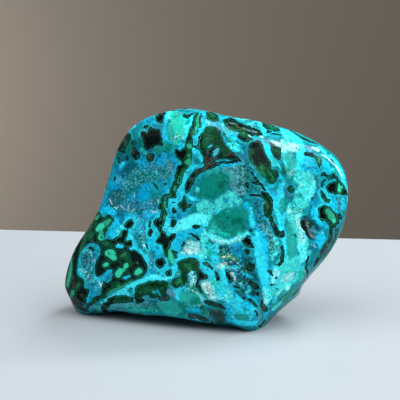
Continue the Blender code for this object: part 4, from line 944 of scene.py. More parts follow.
# How gritty, laced and haloed the ground is, where the coat shines, and a level that brightens or darkens its
# colour as painted light and shade and as tone: (softness, start, washes of (level, strokes)).
TEXTURES = {
    "grit": (5, 0.4, [
        (0.9, "228,132,7 236,148,8; 240,168,10 250,180,12 244,195,8; 262,195,10 268,215,12 262,235,10"),
        (0.4, "285,190,8 288,215,10 295,235,8; 300,160,12 300,185,12"),
        (0.8, "200,270,10 190,285,10; 130,295,8 150,305,9; 290,205,4 298,212,5"),
        (0.9, "205,165,6 215,162,4; 245,250,8 250,265,8 240,285,10; 270,240,8 276,255,6"),
        (0.6, "165,205,12 170,225,6; 210,292,8"),
        (0.3, "280,270,12 285,285,10; 305,240,8 300,255,8"),
        (0.05, "206,187,8 220,182,6; 228,216,9 240,219,7; 180,224,6 192,221,7 200,218,5"),
        (0.1, "256,232,4 262,245,5 263,262,4 264,280,5; 290,130,8 298,142,6; 176,128,8; 291,240,4 292,255,4"),
        (0.1, "165,306,7 178,309,5; 188,298,6 198,302,5; 237,252,4; 120,150,14 135,150,10"),
        (0.0, "231,256,5 240,270,6 250,290,6; 306,224,5 310,232,5"),
    ]),
    # A level on the colour of the ground and the ore: above 1 it is painted light, below 1 painted shade, and
    # some washes only even out the pigments' tone.
    "painted_light_and_tone": (6, 1.0, [
        (0.8, "176,118,7 177,130,7; 118,140,5 117,152,5"),
        # painted shade on the upper bevel, which faces the lamps
        (0.7, "196,114,5 206,119,5 218,126,5 230,134,5 240,139,5 252,141,4 266,140,4"),
        (
            0.65,
            "153,118,3 163,120,3 160,128,3; 190,112,3 182,111,2; 155,224,3 155,232,3; "
            "160,265,3 161,270,3",
        ),
        (0.7, "322,190,3 330,197,3; 204,296,3; 250,148,3 249,142,3; 182,141,2; 173,163,2"),
        # painted light on the lower lip, which faces down into shade
        (1.45, "86,311,2 100,312,2 116,310,3 131,310,3 150,312,3 170,313,3 190,317,3 206,321,3 222,326,2"),
        (
            1.35,
            "232,266,3 238,272,3; 224,247,3 232,247,3 218,246,3; 273,295,3 267,303,3; 302,218,2; "
            "205,246,3",
        ),
        # these washes hold painted light on the right undercut and by the right foot
        (
            1.3,
            "141,246,3; 197,260,2; 253,253,3; 190,253,2; 284,300,5 275,310,6 268,316,4; "
            "250,322,4 236,322,4",
        ),
        (
            1.3,
            "280,294,5 296,282,5; 301,218,4 307,211,4; 309,259,4; 147,280,4 165,279,4; "
            "198,259,4 206,260,4",
        ),
        (
            1.35,
            "224,246,4 233,245,4; 232,267,4 225,267,4; 141,232,4 141,246,4; 218,232,4 205,225,5; "
            "240,253,3",
        ),
        (
            1.3,
            "260,288,4 268,296,5; 155,260,4; 281,232,3; 184,259,3; 240,274,3; 250,233,3; "
            "286,208,4 290,200,3",
        ),
        # painted light on the lower lip
        (1.3, "90,309,4 113,309,4 121,309,4 135,309,3; 70,262,2 68,280,2"),
        (0.7, "219,127,4 211,127,3; 199,127,3; 212,120,3; 232,141,4; 323,190,3; 170,259,2; 226,132,3"),
        (0.5, "266,141,4 270,143,3"),
        (
            0.6,
            "323,190,3 330,197,4; 323,225,3; 155,224,3 155,232,3; 197,129,3; 197,155,3; 218,127,3; "
            "169,260,2",
        ),
    ]),
    "gloss": (8, 0.0, [
        (0.9, "272,139,1.5 276,142,2.5 279,145,2; 319,152,4 330,161,4 338,171,4 342,180,3"),
    ]),
    "lace": (6, 0.1, [
        (1.0, "125,182,9 135,178,9 150,172,9 165,172,8; 118,200,9 130,206,9 145,208,8 155,205,8"),
        (0.9, "165,205,6 172,207,6; 138,222,8 140,235,7 144,246,6; 85,258,9; 88,280,8 97,285,7"),
        (0.5, "240,168,10 250,180,12; 262,195,10 268,215,10; 310,165,8 316,190,8; 140,300,8 160,304,6"),
        (0.7, "150,258,6 153,268,5; 345,190,5 340,205,5; 250,124,6; 291,190,8 284,192,5"),
        (0.0, "146,192,8 140,198,6; 112,186,7; 175,128,9; 206,187,8 228,216,9 240,219,7"),
    ]),
    "halo": (6, 0.25, [
        (0.05, "125,148,15 138,150,10 152,140,12; 190,290,14 165,305,12"),
        (1.0, "162,222,10 160,240,14 150,228,8; 172,200,10; 130,225,8 120,235,8 145,252,8"),
        (0.9, "120,296,6 150,280,6 175,262,8 195,254,6 210,268,8; 320,215,8 326,195,8"),
        (0.8, "186,166,8 180,190,8; 200,128,6 204,150,6; 270,190,5 278,205,6"),
        (0.1, "244,150,8 246,185,8; 282,165,8 285,190,8; 250,130,8 262,128,8"),
        (0.0, "226,254,5 240,270,8 250,290,8; 306,224,7 310,232,7"),
    ]),
}


# ---------------------------------------------------------------- the stone's form
def facing(azimuth, elevation=0.0):
    """Unit vector that points out of a flat."""
    a, e = math.radians(azimuth), math.radians(elevation)
    return np.array([math.sin(a) * math.cos(e), -math.cos(a) * math.cos(e), math.sin(e)])


def beyond(points, flat):
    """How far each point lies outside a flat."""
    azimuth, elevation, through = flat
    return (points - np.array(through)) @ facing(azimuth, elevation)


def rounded_meet(distances, radius):
    """Where all the solids meet, with the edges between them rounded."""
    raised = np.stack(distances) + radius
    corner = np.linalg.norm(np.maximum(raised, 0), axis=0)
    return np.minimum(raised.max(axis=0), 0) + corner - radius


def smooth_closed(points, steps=12):
    """A closed Catmull-Rom curve through the points."""
    knots = np.array(points, float)
    before, after, beyond_next = (np.roll(knots, k, axis=0) for k in (1, -1, -2))
    t = np.linspace(0, 1, steps, endpoint=False)[:, None, None]
    curve = 0.5 * (
        2 * knots
        + (after - before) * t
        + (2 * before - 5 * knots + 4 * after - beyond_next) * t**2
        + (3 * knots - before - 3 * after + beyond_next) * t**3
    )
    return curve.transpose(1, 0, 2).reshape(-1, 2)


def outline_reach():
    """Angles about the heart and the outline's reach at each, for interpolation."""
    spokes = smooth_closed(OUTLINE) - np.array([HEART[0], HEART[2]])
    angle = np.arctan2(spokes[:, 1], spokes[:, 0])
    order = np.argsort(angle)
    angle, reach = angle[order], np.linalg.norm(spokes, axis=1)[order]
    wrapped = np.concatenate([angle - 2 * math.pi, angle, angle + 2 * math.pi])
    return wrapped, np.tile(reach, 3)


ANGLES, REACHES = outline_reach()


def beyond_pebble(points):
    """Radial distance outside the rounded pebble that fills the outline."""
    out = points - HEART
    out[:, 1] -= MIDLINE_TURN * out[:, 0]
    reach = np.interp(np.arctan2(out[:, 2], out[:, 0]), ANGLES, REACHES)
    depth = np.where(out[:, 1] < 0, SHOW_DEPTH, BACK_DEPTH)
    spread = (np.hypot(out[:, 0], out[:, 2]) / reach) ** PEBBLE_POWER
    fill = (spread + (np.abs(out[:, 1]) / depth) ** PEBBLE_POWER) ** (1 / PEBBLE_POWER)
    return np.linalg.norm(out, axis=1) * (1 - 1 / np.maximum(fill, 1e-6))


def beyond_stone(points):
    """Signed distance to the ground and polished stone, before its hollows."""
    show = rounded_meet([beyond(points, f) for f in SHOW_FLATS.values()], RIDGE_ROUND)
    back = rounded_meet([beyond(points, f) for f in BACK_FLATS.values()], BACK_ROUND)
    body = rounded_meet([beyond_pebble(points), show, back], RIM_ROUND)
    for centre, reach, rounding in BITES.values():
        from_centre = (points - np.array(centre)) / np.array(reach)
        into_bite = (1 - np.linalg.norm(from_centre, axis=1)) * min(reach)
        body = rounded_meet([body, into_bite], rounding)
    return body


def skin_reach(spokes):
    """How far the skin lies from the heart along each spoke."""
    near, far = np.zeros(len(spokes)), np.full(len(spokes), FARTHEST_SKIN)
    for _ in range(HALVINGS):
        middle = (near + far) / 2
        outside = beyond_stone(HEART + spokes * middle[:, None]) > 0
        far = np.where(outside, middle, far)
        near = np.where(outside, near, middle)
    return near + WANDER * noise_at(spokes * near[:, None], WANDER_SPAN)


def noise_at(points, span, seed=0.0):
    """Smooth noise from -1 to 1 at each point; span is the size of its lumps."""
    start = Vector((seed * 17.3, seed * 5.1, seed * 9.7))
    return np.array([noise.noise(Vector(p) / span + start) for p in points])


def edge_distance(points, corners):
    """Distance of each 2-D point from the closed outline."""
    a = np.array(corners)[:, None]
    along = np.roll(a, -1, axis=0) - a
    share = (((points - a) * along).sum(-1) / (along**2).sum(-1)).clip(0, 1)
    return np.linalg.norm(a + share[..., None] * along - points, axis=-1).min(axis=0)


def inside(points, corners):
    """Whether each 2-D point lies inside the closed outline."""
    a = np.array(corners)[:, None]
    b = np.roll(a, -1, axis=0)
    crosses = (a[..., 1] > points[:, 1]) != (b[..., 1] > points[:, 1])
    rise = np.where(a[..., 1] == b[..., 1], 1, b[..., 1] - a[..., 1])
    x = a[..., 0] + (points[:, 1] - a[..., 1]) / rise * (b[..., 0] - a[..., 0])
    return (crosses & (points[:, 0] < x)).sum(axis=0) % 2 == 1


def in_hollow(points, hollow):
    """Where points on the skin lie on the hollow's plane, and how far inside its outline."""
    centre, azimuth, corners = hollow[:3]
    centre = np.array(centre)
    out = facing(azimuth)
    across = np.array([math.cos(math.radians(azimuth)), math.sin(math.radians(azimuth)), 0])
    spokes = points - HEART
    toward = spokes @ out
    share = ((centre - HEART) @ out) / np.where(np.abs(toward) < 1e-6, 1e-6, toward)
    landed = spokes * share[:, None] + HEART - centre
    flat = np.stack([landed @ across, landed[:, 2]], axis=1)
    depth = np.where(inside(flat, corners), 1, -1) * edge_distance(flat, corners)
    return flat, np.where(toward > 0, depth, -99.0)


def hollow_depth(flat, within, hollow):
    """How deep the hollow is below the skin."""
    _, _, corners, left, right, lip = hollow
    low, high = min(c[0] for c in corners), max(c[0] for c in corners)
    full = left + (right - left) * ((flat[:, 0] - low) / (high - low)).clip(0, 1)
    falls = (within / LIP_WIDTH).clip(0, 1)
    lumps = [FLOOR_WANDER * noise.noise(Vector((x, y, left)) / FLOOR_SPAN) for x, y in flat]
    return lip + (np.maximum(full, lip) - lip) * np.sqrt(falls) + lumps


# ---------------------------------------------------------------- meshes
def to_object(body, name, material=None):
    """Writes a bmesh as an object whose place is in its mesh."""
    data = bpy.data.meshes.new(name)
    body.to_mesh(data)
    body.free()
    obj = bpy.data.objects.new(name, data)
    bpy.context.scene.collection.objects.link(obj)
    if material:
        data.materials.append(material)
    return obj


def fine_skin():
    """The stone's skin as a fine closed mesh, finest where it faces the viewer."""
    ball = bmesh.new()
    bmesh.ops.create_cube(ball, size=2)
    bmesh.ops.subdivide_edges(ball, edges=ball.edges[:], cuts=SKIN_GRID - 1, use_grid_fill=True)
    spread = Vector(SKIN_SPREAD)
    for vert in ball.verts:
        # The tangent evens out the squares of a cube that is blown up to a ball.
        round_spot = Vector([math.tan(c * math.pi / 4) for c in vert.co]).normalized()
        vert.co = round_spot * spread
    show = []
    for face in ball.faces:
        middle = face.calc_center_median()
        normal = Vector([c / s**2 for c, s in zip(middle, spread)]).normalized()
        if normal.dot(Vector(SIGHT)) < FINE_PAST_RIM:
            show.append(face)
    edges = list({edge for face in show for edge in face.edges})
    bmesh.ops.subdivide_edges(ball, edges=edges, cuts=1, use_grid_fill=True)
    spokes = np.array([v.co.normalized() for v in ball.verts])
    spots = HEART + spokes * skin_reach(spokes)[:, None]
    for vert, spot in zip(ball.verts, spots):
        vert.co = spot
    floor = bmesh.ops.bisect_plane(
        ball, geom=ball.verts[:] + ball.edges[:] + ball.faces[:],
        plane_co=(0, 0, 0), plane_no=(0, 0, -1), clear_outer=True,
    )
    rim = [e for e in floor["geom_cut"] if isinstance(e, bmesh.types.BMEdge)]
    bmesh.ops.contextual_create(ball, geom=rim)
    bmesh.ops.triangulate(ball, faces=[f for f in ball.faces if len(f.verts) > 4])
    bmesh.ops.recalc_face_normals(ball, faces=ball.faces)
    return ball


def stone_mesh():
    """The skin with its hollows sunk into it, in metres."""
    body = fine_skin()
    spots = np.array([v.co for v in body.verts])
    spokes = spots - HEART
    spokes /= np.linalg.norm(spokes, axis=1, keepdims=True)
    sunk = np.zeros(len(spots))
    for hollow in HOLLOWS.values():
        flat, within = in_hollow(spots, hollow)
        inner = within > 0
        depth = hollow_depth(flat[inner], within[inner], hollow)
        sunk[inner] = np.maximum(sunk[inner], depth)
    spots = (spots - spokes * sunk[:, None] + TO_MIDDLE) * MM
    for vert, spot in zip(body.verts, spots):
        vert.co = spot
    return body


# ---------------------------------------------------------------- laying the pattern on the stone
# Millimetres, unless a value is a share.
DEPTH_SHARE = 0.6
REACH = 6.0
FUSE = 0.3
BEAD_FUSE = 0.15
BEAD_TONE_RIM = 0.5
WRAP = 0.8
BACK_FADE = 7.0
BACK_HOLD_OFF = 3
SWELL = 0.1
CRISP = 0.75
# How edges wander: (amount, span of the lumps, seed), a broad and a fine one of each.
LOOSE_EDGES = [(0.55, 2.6, 1), (0.25, 1.0, 4)]
TIGHT_EDGES = [(0.22, 1.6, 7), (0.12, 0.7, 10)]
BACK_EDGES = [(1.6, 6.0, 31), (0.6, 2.0, 34)]
# How ragged the front's marks end past the rim, and the moss in the ore there.
RAGGED_END = 1.6
RAGGED_SPAN = 3.5
RAGGED_SEED = 21
MOSS_SPAN = 3.0
MOSS_SEED = 22
MOSS_LEVEL = -0.2
MOSS_SOFTNESS = 0.5


def linear(code):
    """A display colour, written as six hexadecimal digits, as linear light."""
    shares = np.array([int(code[k : k + 2], 16) for k in (0, 2, 4)]) / 255
    return np.where(shares <= 0.04045, shares / 12.92, ((shares + 0.055) / 1.055) ** 2.4)


def strokes_of(text):
    """The strokes in a text, each an array of (across, down, radius)."""
    return [
        np.array([[float(v) for v in spot.split(",")] for spot in stroke.split()])
        for stroke in text.split(";")
    ]


def smooth_step(value):
    """0 up to 1, with no corner at either end."""
    value = np.clip(value, 0, 1)
    return value * value * (3 - 2 * value)


def fuse(a, b, width=FUSE):
    """The nearer of two distances, rounded where they are alike."""
    share = np.clip(0.5 + 0.5 * (b - a) / width, 0, 1)
    return b * (1 - share) + a * share - width * share * (1 - share)


class Sheet:
    """The stone's points as the camera's sheet sees them."""

    def __init__(self, points, normals, faces):
        self.points = points
        out = points - EYE
        away = out @ SIGHT
        scale = CAMERA_DISTANCE / away / SHEET_STEP
        self.across = SHEET_MIDDLE[0] + out[:, 0] * scale
        self.down = SHEET_MIDDLE[1] - (out @ SHEET_UP) * scale
        self.square = SHEET_STEP * away / CAMERA_DISTANCE
        self.seen = (normals * out).sum(axis=1) < 0
        self.tree = BVHTree.FromPolygons([Vector(p) for p in points], faces)
        seen_spots = np.nonzero(self.seen)[0]
        self.nearest = kdtree.KDTree(len(seen_spots))
        for index in seen_spots:
            self.nearest.insert(Vector((self.across[index], self.down[index], 0)), int(index))
        self.nearest.balance()

    def press(self, points):
        """Points with their depth along the line of sight shortened."""
        return np.stack([points[:, 0], points @ SHEET_UP, points @ SIGHT * DEPTH_SHARE], axis=1)

    def land(self, across, down):
        """Where a spot of the sheet falls on the stone."""
        aim = SIGHT * CAMERA_DISTANCE
        aim = aim + np.array([1, 0, 0]) * (across - SHEET_MIDDLE[0]) * SHEET_STEP
        aim = aim + SHEET_UP * (SHEET_MIDDLE[1] - down) * SHEET_STEP
        spot, _, _, _ = self.tree.ray_cast(Vector(EYE), Vector(aim).normalized())
        if spot is None:
            _, index, _ = self.nearest.find(Vector((across, down, 0)))
            spot = self.points[index]
        return np.array(spot)

    def stroke_distance(self, stroke, warp):
        """Distance outside a chain of rounds, for points warped by some noise."""
        landed = np.array([self.land(x, y) for x, y, _ in stroke])
        spots = self.press(landed)
        away = (landed - EYE) @ SIGHT
        radii = stroke[:, 2] * SHEET_STEP * away / CAMERA_DISTANCE
        result = np.full(len(self.points), REACH)
        low, high = spots.min(axis=0) - REACH - radii.max(), spots.max(axis=0) + REACH + radii.max()
        near = np.nonzero(((warp > low) & (warp < high)).all(axis=1))[0]
        place = warp[near]
        best = np.full(len(near), REACH)
        ends = list(zip(spots, radii))
        for (a, ra), (b, rb) in zip(ends, ends[1:] or ends):
            along = b - a
            length = max(along @ along, 1e-9)
            share = np.clip((place - a) @ along / length, 0, 1)
            gap = np.linalg.norm(place - a - share[:, None] * along, axis=1) - (ra + (rb - ra) * share)
            best = np.minimum(best, gap)
        result[near] = best
        return result

    def marks(self, text, warp):
        """Distance outside all the strokes in a text."""
        found = None
        for stroke in strokes_of(text):
            distance = self.stroke_distance(stroke, warp)
            found = distance if found is None else np.minimum(found, distance)
        return found

    def patch_distance(self, text, shift):
        """Distance outside a closed patch, on the side of the stone that is seen."""
        outline = smooth_closed([[float(v) for v in spot.split(",")] for spot in text.split()], 5)
        place = np.stack([self.across, self.down], axis=1) + shift
        margin = REACH / SHEET_STEP
        near = self.seen & (place > outline.min(axis=0) - margin).all(axis=1)
        near &= (place < outline.max(axis=0) + margin).all(axis=1)
        near = np.nonzero(near)[0]
        gap = edge_distance(place[near], outline) * np.where(inside(place[near], outline), -1, 1)
        result = np.full(len(place), REACH)
        result[near] = gap * self.square[near]
        return result


def wandering(points, edges):
    """A smooth random offset for each point, broad and fine."""
    offset = np.zeros(points.shape)
    for amount, span, seed in edges:
        offset = offset + amount * np.stack([noise_at(points, span, seed + k) for k in range(3)], axis=1)
    return offset


def wash(sheet, layers, colours, warp):
    """Lays soft-edged washes of pigment over the colours."""
    for pigment, softness, text in layers:
        soft = softness * SHEET_STEP * CRISP
        cover = smooth_step(0.5 - sheet.marks(text, warp) / soft)[:, None]
        colours = colours * (1 - cover) + linear(PIGMENTS[pigment]) * cover
    return colours


def round_the_rim(sheet):
    """The hidden points, the seen point nearest each of them, and how far off it is."""
    near = kdtree.KDTree(int(sheet.seen.sum()))
    for index in np.nonzero(sheet.seen)[0]:
        near.insert(Vector(sheet.points[index]), int(index))
    near.balance()
    hidden = np.nonzero(~sheet.seen)[0]
    found = [near.find(Vector(sheet.points[index])) for index in hidden]
    return hidden, np.array([f[1] for f in found]), np.array([f[2] for f in found])


# The side that the camera does not see: (pigment, span of its patches, level, softness).
BACK_GROUND = [
    ("deep teal", 9.0, 0.0, 0.5), ("cyan", 7.0, 0.12, 0.25), ("blue", 11.0, 0.08, 0.3),
    ("azure", 5.0, 0.28, 0.15), ("lagoon", 8.0, 0.2, 0.2), ("turquoise", 6.0, 0.3, 0.15),
    ("deep sea", 5.0, 0.32, 0.2), ("aqua", 4.0, 0.36, 0.12), ("pale aqua", 3.0, 0.45, 0.1),
]
BACK_GROUND_SEED = 40
BACK_DARK_SPAN = 8.0
BACK_DARK_LEVEL = 0.16
BACK_DARK_SEED = 60
BACK_VEIN_SPAN = 13.0
BACK_VEIN_HALF = 0.45
BACK_VEIN_SEED = 62
BACK_BEADS = 130
BACK_BEAD_DEEP = -0.8
BACK_BEAD_SIZES = (0.35, 1.2)
BACK_BEAD_SHARE = 0.55
BACK_BEAD_SEED = 12


def back_pattern(points):
    """Ground, dark distance and bead distance for points on the hidden side."""
    ground = np.tile(linear(PIGMENTS["teal"]), (len(points), 1))
    warp = points + wandering(points, BACK_EDGES)
    for k, (pigment, span, level, soft) in enumerate(BACK_GROUND):
        cover = smooth_step((noise_at(warp, span, BACK_GROUND_SEED + k) - level) / soft)[:, None]
        ground = ground * (1 - cover) + linear(PIGMENTS[pigment]) * cover
    lumps = noise_at(warp, BACK_DARK_SPAN, BACK_DARK_SEED)
    lumps = lumps + 0.3 * noise_at(warp, BACK_DARK_SPAN / 3, BACK_DARK_SEED + 1)
    dark = (BACK_DARK_LEVEL - lumps) * BACK_DARK_SPAN * 0.6
    veins = np.abs(noise_at(warp, BACK_VEIN_SPAN, BACK_VEIN_SEED)) * BACK_VEIN_SPAN - BACK_VEIN_HALF
    veins = veins - 1.2 * noise_at(warp, 7.0, BACK_VEIN_SEED + 1)
    dark = fuse(dark, veins)
    bead = np.full(len(points), REACH)
    dice = random.Random(BACK_BEAD_SEED)
    deep = np.nonzero(dark < BACK_BEAD_DEEP)[0]
    for index in dice.sample(list(deep), min(BACK_BEADS, len(deep))):
        radius = min(dice.uniform(*BACK_BEAD_SIZES), -dark[index] * BACK_BEAD_SHARE)
        bead = np.minimum(bead, np.linalg.norm(warp - warp[index], axis=1) - radius)
    return ground, dark, bead


def pattern(sheet):
    """Every field of the pattern, one value for each point of the stone."""
    points = sheet.points
    loose = wandering(points, LOOSE_EDGES)
    tight = wandering(points, TIGHT_EDGES)
    soft_warp, fine_warp = sheet.press(points + loose), sheet.press(points + tight)
    shift = tight[:, :2] / SHEET_STEP
    ground = np.tile(linear(PIGMENTS["teal"]), (len(points), 1))
    ground = wash(sheet, GROUND, ground, soft_warp)
    inner = np.tile(linear(PIGMENTS["ink"]), (len(points), 1))
    inner = wash(sheet, INNER, inner, soft_warp)
    dark = np.full(len(points), REACH)
    for text in DARK_PATCHES.values():
        dark = fuse(dark, sheet.patch_distance(text, shift))
    hidden, source, gap = round_the_rim(sheet)
    behind = points[hidden]
    ragged = RAGGED_END * noise_at(behind, RAGGED_SPAN, RAGGED_SEED)
    dark[hidden] = np.minimum(dark[source] + WRAP * gap + ragged * np.clip(gap, 0, 1), REACH)
    for text in DARK_STROKES.values():
        dark = fuse(dark, sheet.marks(text, fine_warp) - SWELL)
    for text in WINDOWS.values():
        dark = np.maximum(dark, -sheet.marks(text, fine_warp))
    bead = np.full(len(points), REACH)
    bead_tone = np.tile(linear(PIGMENTS["jade"]), (len(points), 1))
    for pigment, text in BEADS.values():
        distance = sheet.marks(text, fine_warp)
        cover = smooth_step(0.5 - (distance - BEAD_TONE_RIM) / BEAD_TONE_RIM)[:, None]
        bead_tone = bead_tone * (1 - cover) + linear(PIGMENTS[pigment]) * cover
        bead = fuse(bead, distance, BEAD_FUSE)
    for text in BEAD_PUPILS.values():
        bead = np.maximum(bead, -sheet.marks(text, fine_warp))
    back_ground, back_dark, back_bead = back_pattern(behind)
    turned = smooth_step((gap + ragged) / BACK_FADE)
    ground[hidden] += (back_ground - ground[source]) * turned[:, None] + ground[source] - ground[hidden]
    dark[hidden] = np.minimum(dark[hidden], back_dark + (1 - turned) * BACK_HOLD_OFF)
    bead[hidden] = fuse(bead[hidden], back_bead + (1 - turned) * BACK_HOLD_OFF, BEAD_FUSE)
    moss = smooth_step((noise_at(behind, MOSS_SPAN, MOSS_SEED) - MOSS_LEVEL) / MOSS_SOFTNESS)
    moss = moss[:, None] * turned[:, None]
    inner[hidden] = inner[hidden] * (1 - moss) + linear(PIGMENTS["moss"]) * moss
    textures = {}
    for name, (softness, start, layers) in TEXTURES.items():
        amount = np.full(len(points), start)
        for level, strokes in layers:
            cover = smooth_step(0.5 - sheet.marks(strokes, soft_warp) / (softness * SHEET_STEP))
            amount = amount * (1 - cover) + level * cover
        textures[name] = amount
    pale = np.full(len(points), REACH)
    for text in PALE.values():
        pale = np.minimum(pale, sheet.marks(text, fine_warp))
    return {
        "ground": ground, "inner": inner, "bead_tone": bead_tone,
        "dark": dark, "bead": bead, "pale": pale, **textures,
    }


def write_fields(mesh, fields):
    """Stores each field as an attribute of the mesh."""
    for name, values in fields.items():
        if values.ndim == 2:
            attribute = mesh.attributes.new(name, "FLOAT_COLOR", "POINT")
            full = np.concatenate([values, np.ones((len(values), 1))], axis=1)
            attribute.data.foreach_set("color", full.astype(np.float32).ravel())
        else:
            attribute = mesh.attributes.new(name, "FLOAT", "POINT")
            attribute.data.foreach_set("value", values.astype(np.float32))


# ---------------------------------------------------------------- finishes
POLISH_ROUGHNESS = 0.12
POLISH_SHINE = 0.025
COAT_ROUGHNESS = 0.08
CRYSTAL_ROUGHNESS = 0.25
CRYSTAL_SHINE = 0.4


class Value:
    """A number in a finish: arithmetic on it adds Math nodes."""

    def __init__(self, finish, socket):
        self.finish, self.socket = finish, socket

    def maths(self, operation, *terms):
        """A Math node on these terms."""
        return self.finish.number("ShaderNodeMath", {"operation": operation}, dict(enumerate(terms)))

    def __add__(self, other):
        return self.maths("ADD", self, other)

    def __radd__(self, other):
        return self.maths("ADD", other, self)

    def __sub__(self, other):
        return self.maths("SUBTRACT", self, other)

    def __mul__(self, other):
        return self.maths("MULTIPLY", self, other)

    def __rmul__(self, other):
        return self.maths("MULTIPLY", other, self)

    def sine(self):
        return self.maths("SINE", self)


class Finish:
    """A material and the nodes in it."""

    def __init__(self, name):
        self.material = bpy.data.materials.new(name)
        self.material.use_nodes = True
        self.tree = self.material.node_tree
        self.shader = self.tree.nodes["Principled BSDF"]

    def node(self, kind, settings=None, sockets=None):
        """Adds a node: its settings first, then the values or links of its sockets."""
        made = self.tree.nodes.new(kind)
        for key, value in (settings or {}).items():
            setattr(made, key, value)
        for key, value in (sockets or {}).items():
            self.feed(made.inputs[key], value)
        return made

    def feed(self, socket, value):
        """Links a socket to another, or sets it to a plain number or colour."""
        if isinstance(value, Value):
            value = value.socket
        if isinstance(value, bpy.types.NodeSocket):
            self.tree.links.new(value, socket)
        else:
            socket.default_value = value

    def number(self, kind, settings=None, sockets=None, output=0):
        """Adds a node and gives its number."""
        return Value(self, self.node(kind, settings, sockets).outputs[output])

    def attribute(self, name, output):
        """A field stored on the mesh, as a number or as a colour."""
        made = self.node("ShaderNodeAttribute", {"attribute_type": "GEOMETRY", "attribute_name": name})
        return Value(self, made.outputs[output]) if output == "Fac" else made.outputs[output]

    def grain(self, span, detail=3.0, rough=0.55, distort=0.0):
        """Noise from about -0.5 to 0.5 whose lumps are span millimetres wide."""
        sockets = {"Vector": self.place, "Scale": 1 / (span * MM), "Detail": detail,
                   "Roughness": rough, "Distortion": distort}
        return self.number("ShaderNodeTexNoise", {}, sockets) - 0.5

    def cells(self, span):
        """A level from -0.5 to 0.5 for each crumb, span millimetres wide."""
        sockets = {"Vector": self.place, "Scale": 1 / (span * MM)}
        made = self.node("ShaderNodeTexVoronoi", {}, sockets)
        split = self.node("ShaderNodeSeparateColor", {}, {"Color": made.outputs["Color"]})
        return Value(self, split.outputs["Red"]) - 0.5

    def cell_distance(self, span):
        """How far a point is from the middle of its cell, as a share of the cell."""
        sockets = {"Vector": self.place, "Scale": 1 / (span * MM)}
        return self.number("ShaderNodeTexVoronoi", {}, sockets)

    def band(self, value, middle, half):
        """1 where a value is near the middle, falling smoothly to 0."""
        offset = value - middle
        away = offset.maths("ABSOLUTE", offset)
        return self.between(away, half, half * 0.3)

    def between(self, value, low, high, start=0.0, end=1.0):
        """A smooth step from start to end as the value goes from low to high."""
        sockets = {0: value, 1: low, 2: high, 3: start, 4: end}
        return self.number("ShaderNodeMapRange", {"interpolation_type": "SMOOTHSTEP"}, sockets)

    def mix(self, share, a, b, blend="MIX"):
        """Mixes two colours."""
        made = self.node("ShaderNodeMix", {"data_type": "RGBA", "blend_type": blend})
        self.feed(made.inputs["Factor"], share)
        self.feed(made.inputs[6], a)
        self.feed(made.inputs[7], b)
        return made.outputs[2]

    def brighten(self, colour, factor):
        """A colour times a number."""
        made = self.node("ShaderNodeVectorMath", {"operation": "SCALE"})
        self.feed(made.inputs[0], colour)
        self.feed(made.inputs[3], factor)
        return made.outputs[0]


def colour(pigment):
    """A pigment as a socket takes it."""
    return (*linear(PIGMENTS[pigment]), 1.0)


